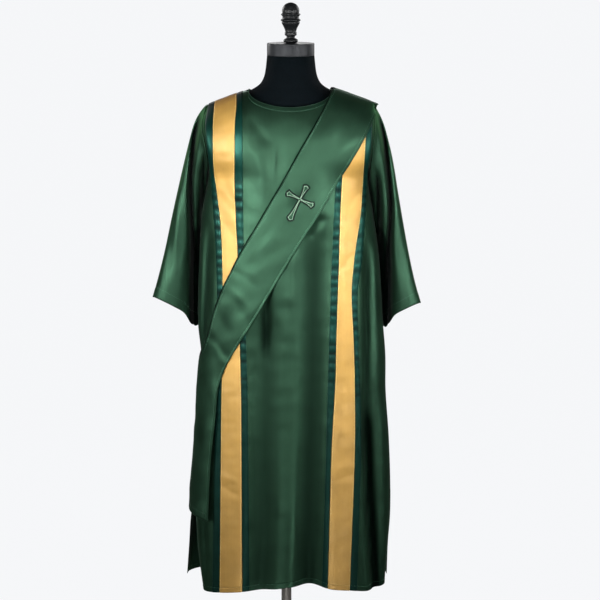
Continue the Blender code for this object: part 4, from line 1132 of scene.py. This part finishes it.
def cross_lines(out):
    """The cross's outline, so far out from its own, arm by arm."""
    k = np.linspace(0, len(ARM) - 1, ARM_STEPS * (len(ARM) - 1) + 1)
    share, across = along_rows(ARM, k)
    across = np.maximum(across + out * np.minimum(across / 0.002, 1), 0.0)
    lines = []
    for quarter, side in enumerate(("up", "side", "down", "side")):
        along = share * CROSS[side] + out * ease((k - 4) / 3)
        points = cross_point(np.concatenate((along, along[::-1])),
                             np.concatenate((across, -across[::-1])), 90 * quarter)
        lines.append(laid_line(*points, 0.0001))
    return lines


# ------------------------------------------------------------------ finishes
def wire(tree, kind, inputs=None, **settings):
    """Add a node, with its settings and its inputs as values or as sockets to link."""
    node = tree.nodes.new(kind)
    for key, value in settings.items():
        setattr(node, key, value)
    for key, value in (inputs or {}).items():
        socket = node.inputs[key]
        if isinstance(value, bpy.types.NodeSocket):
            tree.links.new(value, socket)
        else:
            socket.default_value = value
    return node


def tinted(color, factor):
    return tuple(min(c * factor, 1.0) for c in color[:3]) + (1.0,)


class Finish:
    """A Principled material whose nodes are added one by one."""

    def __init__(self, name, **constants):
        self.material = bpy.data.materials.new(name)
        self.material.use_nodes = True
        self.tree = self.material.node_tree
        self.shader = self.tree.nodes["Principled BSDF"]
        for key, value in constants.items():
            self.shader.inputs[key.replace("_", " ")].default_value = value

    def add(self, kind, inputs=None, out=0, **settings):
        return wire(self.tree, kind, inputs, **settings).outputs[out]

    def cloth(self):
        return self.add("ShaderNodeUVMap", uv_map="cloth")

    def place(self):
        return self.add("ShaderNodeTexCoord", out="Object")

    def noise(self, vector, scale, detail=3.0, stretch=None):
        if stretch:
            vector = self.add("ShaderNodeMapping", {"Vector": vector, "Scale": stretch})
        return self.add("ShaderNodeTexNoise", {"Vector": vector, "Scale": scale, "Detail": detail,
                                               "Roughness": 0.55}, "Fac")

    def ribs(self, vector, scale, way, **inputs):
        return self.add("ShaderNodeTexWave", {"Vector": vector, "Scale": scale, **inputs}, "Fac",
                        bands_direction=way)

    def ramped(self, value, low, high, out_low, out_high):
        return self.add("ShaderNodeMapRange", {"Value": value, "From Min": low, "From Max": high,
                                               "To Min": out_low, "To Max": out_high})

    def dyed(self, value, low, high, a, b, most=1.0):
        """From colour a to most of colour b as the value goes from low to high."""
        return self.add("ShaderNodeMix", {0: self.ramped(value, low, high, 0, most), 6: a, 7: b}, 2,
                        data_type="RGBA")

    def bumped(self, *heights):
        """Bumps one on another, each a height, its strength and its depth in metres."""
        normal = {}
        for height, strength, distance in heights:
            normal = {"Normal": self.add("ShaderNodeBump", {"Height": height, "Strength": strength,
                                                            "Distance": distance, **normal})}
        return normal["Normal"]

    def joined(self, **sockets):
        for key, value in sockets.items():
            self.tree.links.new(value, self.shader.inputs[key.replace("_", " ")])
        return self.material


def satin(name, color, deep, roughness, slub, crumple, constants):
    """Satin: fine diagonal floats, slubs along the warp, soft mottling, and painted shade where each piece
    marks its folds, hollows and dark edges.
    """
    made = Finish(name, Roughness=roughness, **constants)
    cloth, place = made.cloth(), made.place()
    floats = made.ribs(cloth, 420.0, "DIAGONAL", Distortion=0.6, Detail=1.0)
    threads = made.noise(cloth, 1.0, 2.0, (1500.0, 60.0, 1.0))
    streaks = made.noise(cloth, 1.0, 4.0, (160.0, 5.0, 1.0))
    mottle = made.noise(place, 16.0, 4.0)
    cloudy = made.dyed(mottle, 0.35, 0.65, tinted(color, 0.88), tinted(color, 1.12))
    streaked = made.dyed(streaks, 0.3, 0.7, cloudy, tinted(color, 1.45), slub)
    worn = made.dyed(threads, 0.35, 0.65, streaked, tinted(color, 0.55), slub * 0.8)
    hollow = made.add("ShaderNodeAttribute", out="Fac", attribute_name="hollow")
    gloss = made.ramped(mottle, 0.3, 0.7, roughness * 0.88, roughness * 1.14)
    matter = made.add("ShaderNodeMath", {0: hollow, 1: 0.34, 2: gloss}, operation="MULTIPLY_ADD")
    soft = made.noise(place, 34.0, 3.0, (1.0, 1.0, 0.45))
    # Painted shade: the base colour darkens towards the shade colour where the piece's shade mark is set;
    # roughness rises there too
    return made.joined(Base_Color=made.dyed(hollow, 0.08, 0.92, worn, deep), Roughness=matter,
                       Normal=made.bumped((soft, 0.5, crumple), (threads, 0.35, 0.00006),
                                          (floats, 0.25, 0.00005)))


def jersey(name, color):
    """Fine knit: ribs of loops down the form."""
    made = Finish(name, Roughness=0.86, Specular_IOR_Level=0.04)
    cloth = made.cloth()
    wales = made.ribs(cloth, 240.0, "X")
    courses = made.ribs(cloth, 300.0, "Y", Distortion=1.0)
    fuzz = made.noise(made.place(), 260.0, 4.0)
    return made.joined(Base_Color=made.dyed(fuzz, 0.3, 0.7, tinted(color, 0.7), tinted(color, 1.5)),
                       Normal=made.bumped((wales, 0.5, 0.0003), (courses, 0.4, 0.0002),
                                          (fuzz, 0.3, 0.0002)))


def lacquered_wood(name, color):
    """Turned wood under worn black lacquer."""
    made = Finish(name, Roughness=0.42, Specular_IOR_Level=0.22)
    place = made.place()
    grain = made.noise(place, 1.0, 5.0, (60.0, 60.0, 900.0))
    patches = made.noise(place, 70.0, 4.0)
    worn = made.dyed(patches, 0.56, 0.74, tinted(color, 1.0), tinted(color, 1.7), 0.6)
    return made.joined(Base_Color=made.dyed(grain, 0.4, 0.7, worn, tinted(color, 1.8), 0.5),
                       Roughness=made.ramped(patches, 0.3, 0.7, 0.30, 0.44),
                       Normal=made.bumped((grain, 0.30, 0.00008), (patches, 0.15, 0.0001)))


def brushed_metal(name, color, roughness, metallic, brushing, shine=0.5):
    """Metal brushed round or along the piece, with faint smudges."""
    made = Finish(name, Roughness=roughness, Metallic=metallic, Specular_IOR_Level=shine)
    brush = made.noise(made.cloth(), 1.0, 4.0, brushing)
    smudge = made.noise(made.place(), 22.0, 4.0)
    cloudy = made.dyed(smudge, 0.35, 0.65, tinted(color, 0.86), tinted(color, 1.12))
    return made.joined(Base_Color=made.dyed(brush, 0.35, 0.65, cloudy, tinted(color, 0.65), 0.4),
                       Roughness=made.ramped(smudge, 0.3, 0.7, roughness * 0.8, roughness * 1.2),
                       Normal=made.bumped((brush, 0.3, 0.00005)))


def thread(name, color, roughness=0.42, sheen=0.2):
    """Glossy rayon thread, twisted."""
    made = Finish(name, Roughness=roughness, Sheen_Weight=sheen, Sheen_Roughness=0.3,
                  Specular_IOR_Level=0.1 + sheen)
    strands = made.noise(made.place(), 900.0, 2.0)
    return made.joined(Base_Color=made.dyed(strands, 0.3, 0.7, tinted(color, 0.75), tinted(color, 1.2)))


# ------------------------------------------------------------------ settings
def size_property(name, description, default, low, high):
    return FloatProperty(name=name, description=description, default=default, min=low, max=high,
                         unit="LENGTH", precision=4)


def color_property(name, description, *default):
    return FloatVectorProperty(name=name, description=description, default=default, size=3,
                               subtype="COLOR", min=0.0, max=1.0)


def power_property(name, description, default):
    return FloatProperty(name=name, description=description, default=default, min=0.0, unit="POWER")


class DalmaticCloth(bpy.types.PropertyGroup):
    """Colours and gathers of the cloth"""
    satin_color: color_property("Satin", "Green of the panels, sleeves and stole", 0.0140, 0.0365, 0.0215)
    # Painted shade: the green that the satin is darkened to in folds, hollows, along the stole's edges and
    # beside the body
    hollow_color: color_property("Hollows", "Green in the depth of the folds", 0.0006, 0.0028, 0.0017)
    gold_color: color_property("Gold", "Yellow of the vertical bands", 0.300, 0.174, 0.040)
    # Painted shade: the yellow that the gold bands are darkened to in folds and near the shoulder
    gold_hollow_color: color_property("Gold hollows", "Yellow in the folds", 0.200, 0.092, 0.010)
    ribbon_color: color_property("Ribbon", "Teal of the ribbons beside the bands", 0.0028, 0.0280, 0.0200)
    pucker_pitch: size_property("Gather pitch", "Distance between a ribbon's gathers", 0.0235, 0.01, 0.1)
    pucker_height: size_property("Gather height", "How far a gather stands up", 0.0018, 0.0, 0.004)
    pucker_start: size_property("Gather start", "From the shoulder to the first gather", 0.20, 0.0, 1.0)
    stitch_length: size_property("Stitch", "Length of one stitch", 0.0024, 0.001, 0.01)
    stitch_pitch: size_property("Stitch pitch", "Distance between stitches", 0.0034, 0.001, 0.02)


class DalmaticForm(bpy.types.PropertyGroup):
    """Colours of the dress form"""
    jersey_color: color_property("Jersey", "Knit over the bust", 0.0008, 0.0019, 0.0026)
    finial_color: color_property("Finial", "Lacquer of the turned finial", 0.0045, 0.005, 0.0055)
    cap_color: color_property("Cap", "Metal of the neck cap", 0.013, 0.014, 0.016)
    stand_color: color_property("Stand", "Metal of the pole and base", 0.175, 0.163, 0.147)


class DalmaticStage(bpy.types.PropertyGroup):
    """Light and floor"""
    backdrop_color: color_property("Backdrop", "Pale floor and background", 0.930, 0.939, 0.956)
    key_watts: power_property("Key light", "Power of the large front lights", 4.4)
    top_watts: power_property("Top light", "Power of the light overhead", 2.4)
    fill_watts: power_property("Fill light", "Power of the broad lights before and behind", 9.5)
    rim_watts: power_property("Rim lights", "Power of the two lights behind", 15.0)
    room_light: FloatProperty(name="Room light", description="Strength of the light from all sides",
                              default=0.13, min=0.0, max=2.0)


GREEN_SHINE = {"Metallic": 0.85, "Specular_Tint": (0.30, 0.50, 0.38, 1), "Sheen_Weight": 0.02,
               "Sheen_Roughness": 0.35, "Specular_IOR_Level": 0.4}
GOLD_SHINE = {"Metallic": 0.20, "Specular_Tint": (1.0, 0.88, 0.70, 1), "Specular_IOR_Level": 0.45}
TEAL_SHINE = {"Metallic": 0.65, "Specular_IOR_Level": 0.15}
ROUND_BRUSHING, LONG_BRUSHING = (30.0, 2600.0, 1.0), (2200.0, 12.0, 1.0)
FINISHES = {}


def finish_of(key):
    """A shared finish, made when it is first asked for."""
    cloth, form = bpy.context.scene.dalmatic_cloth, bpy.context.scene.dalmatic_form
    green_painted_shade, gold_painted_shade = (*cloth.hollow_color, 1), (*cloth.gold_hollow_color, 1)
    makers = {
        # The second colour of each satin is its painted shade colour; the teal ribbon's is the one given
        # below
        "green_satin": (satin, cloth.satin_color, green_painted_shade, 0.46, 0.16, 0.0012, GREEN_SHINE),
        "gold_satin": (satin, cloth.gold_color, gold_painted_shade, 0.48, 0.12, 0.0014, GOLD_SHINE),
        "teal_ribbon": (satin, cloth.ribbon_color, (0.0006, 0.006, 0.0045, 1), 0.36, 0.10, 0.0004,
                        TEAL_SHINE),
        "black_jersey": (jersey, form.jersey_color),
        "black_turned": (lacquered_wood, form.finial_color),
        "cap_metal": (brushed_metal, form.cap_color, 0.42, 0.30, ROUND_BRUSHING, 0.18),
        "stand_metal": (brushed_metal, form.stand_color, 0.40, 0.35, LONG_BRUSHING),
        "green_thread": (thread, (0.05, 0.15, 0.09)),
        "gold_thread": (thread, (0.80, 0.60, 0.24)),
        "silver_green_thread": (thread, (0.200, 0.300, 0.215), 0.34),
        "dark_green_thread": (thread, (0.0015, 0.006, 0.004), 0.60, 0.0),
    }
    if key not in FINISHES:
        make, *values = makers[key]
        FINISHES[key] = make(key, *values)
    return FINISHES[key]


def finished(obj, slot, *nodes):
    """Give a piece its finish, set it in its CAD nodes' place and let it ride on the object."""
    obj.data.materials.clear()
    obj.data.materials.append(finish_of(slot))
    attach(obj, "root")
    if nodes:
        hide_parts(*nodes)
    return obj


def hung(obj, slot, nodes):
    """Give a piece of cloth its finish, and hide the CAD nodes that it takes the place of."""
    finished(obj, slot, *nodes)


class DALMATIC_OT_panels(bpy.types.Operator):
    """Make the front and back panels with their folds, and the facing round the neckline"""
    bl_idname = "dalmatic.panels"
    bl_label = "Panels"

    def execute(self, context):
        for face, place in FACE_NAMES.items():
            panel = place + "_panel"
            hung(make_panel(face, panel + "_satin"), "green_satin", [panel])
            facing = make_neck_band(face, place + "_neck_facing")
            hung(facing, "green_satin", ["neck_band_" + place])
        return {"FINISHED"}


class DALMATIC_OT_bands(bpy.types.Operator):
    """Make the gold bands and the gathered ribbons beside them"""
    bl_idname = "dalmatic.bands"
    bl_label = "Bands and ribbons"

    def execute(self, context):
        cloth = context.scene.dalmatic_cloth
        for face, place in FACE_NAMES.items():
            for pattern, segment in BAND_SEGMENTS.items():
                node = pattern.format(place)
                slot, width = ("gold_satin", 0.050) if "gold" in node else ("teal_ribbon", 0.017)
                hung(make_band(face, node + "_cloth", segment, cloth), slot, [node])
        return {"FINISHED"}


class DALMATIC_OT_sleeves(bpy.types.Operator):
    """Make both sleeves with their deep folds and turned cuffs"""
    bl_idname = "dalmatic.sleeves"
    bl_label = "Sleeves"

    def execute(self, context):
        for name, (sign, rings) in SLEEVES.items():
            hung(make_sleeve(name, sign, rings), "green_satin", [name])
        return {"FINISHED"}


class DALMATIC_OT_stole(bpy.types.Operator):
    """Make the stole, over the shoulder in front and behind, and its tails at the right hip"""
    bl_idname = "dalmatic.stole"
    bl_label = "Stole"

    def execute(self, context):
        for face, place in FACE_NAMES.items():
            node = "stole_" + place
            hung(make_stole(face, node + "_satin"), "green_satin", [node, node + "_tail"])
        return {"FINISHED"}


class DALMATIC_OT_stitching(bpy.types.Operator):
    """Sew the hems, cuffs, edges and facings, and embroider the cross on the stole"""
    bl_idname = "dalmatic.stitching"
    bl_label = "Stitching and cross"

    def execute(self, context):
        cloth = context.scene.dalmatic_cloth
        runs, gold, cuffs = [], [], [cuff_line(name) for name in SLEEVES]
        for face, place in FACE_NAMES.items():
            runs += hem_lines(face, place) + slit_lines(face)
            facing = SHEETS[place + "_neck_facing"]
            cuffs += [laid_line(facing["outer"][row], facing["ways"][row]) for row in (1, -2)]
            for hand in ("left", "right"):
                band = SHEETS["gold_{}_{}_cloth".format(place, hand)]
                gold += [laid_line(band["outer"][:, j], band["ways"][:, j]) for j in (1, -2)]
            runs += stole_edge_lines(SHEETS["stole_" + place + "_satin"])
        outside = [line for out in DARK_OUT for line in cross_lines(out)]
        for name, lines, slot, radius, turn, share in (
                ("hem_stitches", runs + cuffs, "green_thread", 0.00022, 0.0, 1.0),
                ("gold_stitches", gold, "gold_thread", 0.00030, 0.0, 1.0),
                ("cross_outline", cross_lines(SILVER_OUT), "silver_green_thread", 0.00020, 80.0, 0.50),
                ("cross_shadow", outside, "dark_green_thread", 0.00050, 75.0, 1.10)):
            pitch = radius * 1.5 if turn else cloth.stitch_pitch
            finished(stitched(name, lines, Pitch=pitch, Length=cloth.stitch_length * share,
                              Radius=radius, Turn=math.radians(turn), Uneven=UNEVEN,
                              Seed=STITCH_SEED, Thread=finish_of(slot)), slot)
        return {"FINISHED"}


class DALMATIC_OT_form(bpy.types.Operator):
    """Make the dress form: the finial, its cap, the padded bust, the pole and the base"""
    bl_idname = "dalmatic.dress_form"
    bl_label = "Dress form"

    def execute(self, context):
        for make, node, slot in ((make_finial, "finial", "black_turned"),
                                 (make_cap, "neck_cap", "cap_metal"),
                                 (make_bust, "bust", "black_jersey"),
                                 (make_pole, "pole", "stand_metal"),
                                 (make_base, "base", "stand_metal")):
            finished(make(), slot, node)
        return {"FINISHED"}


# A soft box: its place, what it is turned to, its breadth and height, its share of one of
# the stage's settings, and the cone that its light keeps to, in degrees
Lamp = namedtuple("Lamp", "name place target width height setting share spread")
LAMPS = table(Lamp,
    ("key_left", (-1.30, -2.20, 1.36), (0, 0, 1.12), 0.6, 0.4, "key_watts", 1.0, 37),
    ("key_right", (1.30, -2.15, 1.36), (0, 0, 1.12), 0.6, 0.4, "key_watts", 0.82, 37),
    ("key_middle", (-0.15, -2.70, 1.34), (0, 0, 1.12), 0.9, 0.4, "key_watts", 0.35, 37),
    ("side_left", (-2.10, -0.90, 1.20), (0, 0, 1.0), 0.4, 1.0, "key_watts", 1.0, 60),
    ("side_right", (2.10, -0.90, 1.20), (0, 0, 1.0), 0.4, 1.0, "key_watts", 1.0, 60),
    ("low", (0.0, -2.40, 0.22), (0, 0, 0.20), 1.2, 0.3, "key_watts", 0.28, 34),
    ("top", (0.1, -1.2, 2.9), (0, 0, 1.3), 1.4, 0.8, "top_watts", 1.0, 150),
    ("fill", (0.0, -3.0, 1.1), (0, 0, 0.8), 1.8, 1.2, "fill_watts", 1.0, 150),
    ("back_fill", (0.0, 3.2, 1.5), (0, 0, 0.9), 2.0, 1.4, "fill_watts", 2.4, 150),
    ("rim_left", (-1.7, 1.5, 2.0), (0, 0, 1.1), 0.6, 1.3, "rim_watts", 1.0, 150),
    ("rim_right", (1.7, 1.5, 2.0), (0, 0, 1.1), 0.6, 1.3, "rim_watts", 1.0, 150))
CAMERA_PLACE, CAMERA_TARGET, LENS_MM = (0.0344, -7.0, 1.98), (0.0344, 0.0, 0.9275), 169.9
FLOOR_REACH, FLOOR_Z, FLOOR_GREY, FLOOR_GLOW = 60.0, -0.0005, 0.35, 0.985


def aimed(obj, place, target):
    """Put a light or the camera in its place, turned to a point."""
    obj.location = place
    obj.rotation_euler = (Vector(target) - Vector(place)).to_track_quat("-Z", "Y").to_euler()
    bpy.context.scene.collection.objects.link(obj)
    return obj


def light_up(lamp, look):
    light = bpy.data.lights.new(lamp.name, "AREA")
    light.shape, light.size, light.size_y = "RECTANGLE", lamp.width, lamp.height
    light.energy = getattr(look, lamp.setting) * lamp.share
    light.spread = math.radians(lamp.spread)
    aimed(bpy.data.objects.new(lamp.name, light), lamp.place, lamp.target)


def make_floor(pale):
    """A wide floor as pale as the room behind it, that takes a soft light from the piece."""
    mat = bpy.data.materials.new("pale_floor")
    mat.use_nodes = True
    tree = mat.node_tree
    tree.nodes.clear()
    matt = wire(tree, "ShaderNodeBsdfDiffuse", {"Color": (FLOOR_GREY,) * 3 + (1,)}).outputs[0]
    glow = wire(tree, "ShaderNodeEmission", {"Color": pale}).outputs[0]
    seen = wire(tree, "ShaderNodeLightPath").outputs["Is Camera Ray"]
    share = wire(tree, "ShaderNodeMath", {0: seen, 1: FLOOR_GLOW}, operation="MULTIPLY").outputs[0]
    both = wire(tree, "ShaderNodeMixShader", {0: share, 1: matt, 2: glow}).outputs[0]
    wire(tree, "ShaderNodeOutputMaterial", {0: both})
    mesh = bpy.data.meshes.new("floor")
    corners = ((-1, -1), (1, -1), (1, 1), (-1, 1))
    mesh.from_pydata([(x * FLOOR_REACH, y * FLOOR_REACH, 0) for x, y in corners], [], [(0, 1, 2, 3)])
    mesh.materials.append(mat)
    floor = bpy.data.objects.new("floor", mesh)
    floor.location.z = FLOOR_Z
    bpy.context.scene.collection.objects.link(floor)
    return floor


def make_room(pale, room_light):
    """The room's pale walls, and the weak light that they give."""
    world = bpy.data.worlds.new("studio")
    world.use_nodes = True
    tree = world.node_tree
    tree.nodes.clear()
    seen = wire(tree, "ShaderNodeLightPath").outputs["Is Camera Ray"]
    strength = wire(tree, "ShaderNodeMapRange", {"Value": seen, "To Min": room_light,
                                                 "To Max": 1.0}).outputs[0]
    sky = wire(tree, "ShaderNodeBackground", {"Color": pale, "Strength": strength}).outputs[0]
    wire(tree, "ShaderNodeOutputWorld", {0: sky})
    return world


class DALMATIC_OT_stage(bpy.types.Operator):
    """Set the pale floor, the soft studio lights and the camera"""
    bl_idname = "dalmatic.stage"
    bl_label = "Stage"

    def execute(self, context):
        scene, look = context.scene, context.scene.dalmatic_stage
        pale = (*look.backdrop_color, 1)
        make_floor(pale)
        scene.world = make_room(pale, look.room_light)
        for lamp in LAMPS:
            light_up(lamp, look)
        lens = bpy.data.cameras.new("camera")
        lens.sensor_width, lens.lens, lens.clip_end = 36.0, LENS_MM, 200.0
        scene.camera = aimed(bpy.data.objects.new("camera", lens), CAMERA_PLACE, CAMERA_TARGET)
        scene.view_settings.view_transform = "Standard"
        return {"FINISHED"}


class DALMATIC_PT_sidebar(bpy.types.Panel):
    """The dalmatic's settings and its pieces"""
    bl_idname = "DALMATIC_PT_sidebar"
    bl_label = "Dalmatic"
    bl_space_type = "VIEW_3D"
    bl_region_type = "UI"
    bl_category = "Dalmatic"

    def draw(self, context):
        layout = self.layout
        for group in ("dalmatic_cloth", "dalmatic_form", "dalmatic_stage"):
            box = layout.box()
            settings = getattr(context.scene, group)
            for key in settings.__annotations__:
                box.prop(settings, key)
        for operator in OPERATORS:
            layout.operator(operator.bl_idname)


GROUPS = {"dalmatic_cloth": DalmaticCloth, "dalmatic_form": DalmaticForm, "dalmatic_stage": DalmaticStage}
OPERATORS = (DALMATIC_OT_panels, DALMATIC_OT_bands, DALMATIC_OT_sleeves, DALMATIC_OT_stole,
             DALMATIC_OT_stitching, DALMATIC_OT_form, DALMATIC_OT_stage)


def register():
    for cls in (*GROUPS.values(), *OPERATORS, DALMATIC_PT_sidebar):
        bpy.utils.register_class(cls)
    for key, group in GROUPS.items():
        setattr(bpy.types.Scene, key, PointerProperty(type=group))


def unregister():
    for key in GROUPS:
        delattr(bpy.types.Scene, key)
    for cls in (DALMATIC_PT_sidebar, *reversed(OPERATORS), *reversed(GROUPS.values())):
        bpy.utils.unregister_class(cls)


def main():
    register()
    bpy.ops.dalmatic.panels()
    bpy.ops.dalmatic.bands()
    bpy.ops.dalmatic.sleeves()
    bpy.ops.dalmatic.stole()
    bpy.ops.dalmatic.stitching()
    bpy.ops.dalmatic.dress_form()
    bpy.ops.dalmatic.stage()


if __name__ == "__main__":
    main()
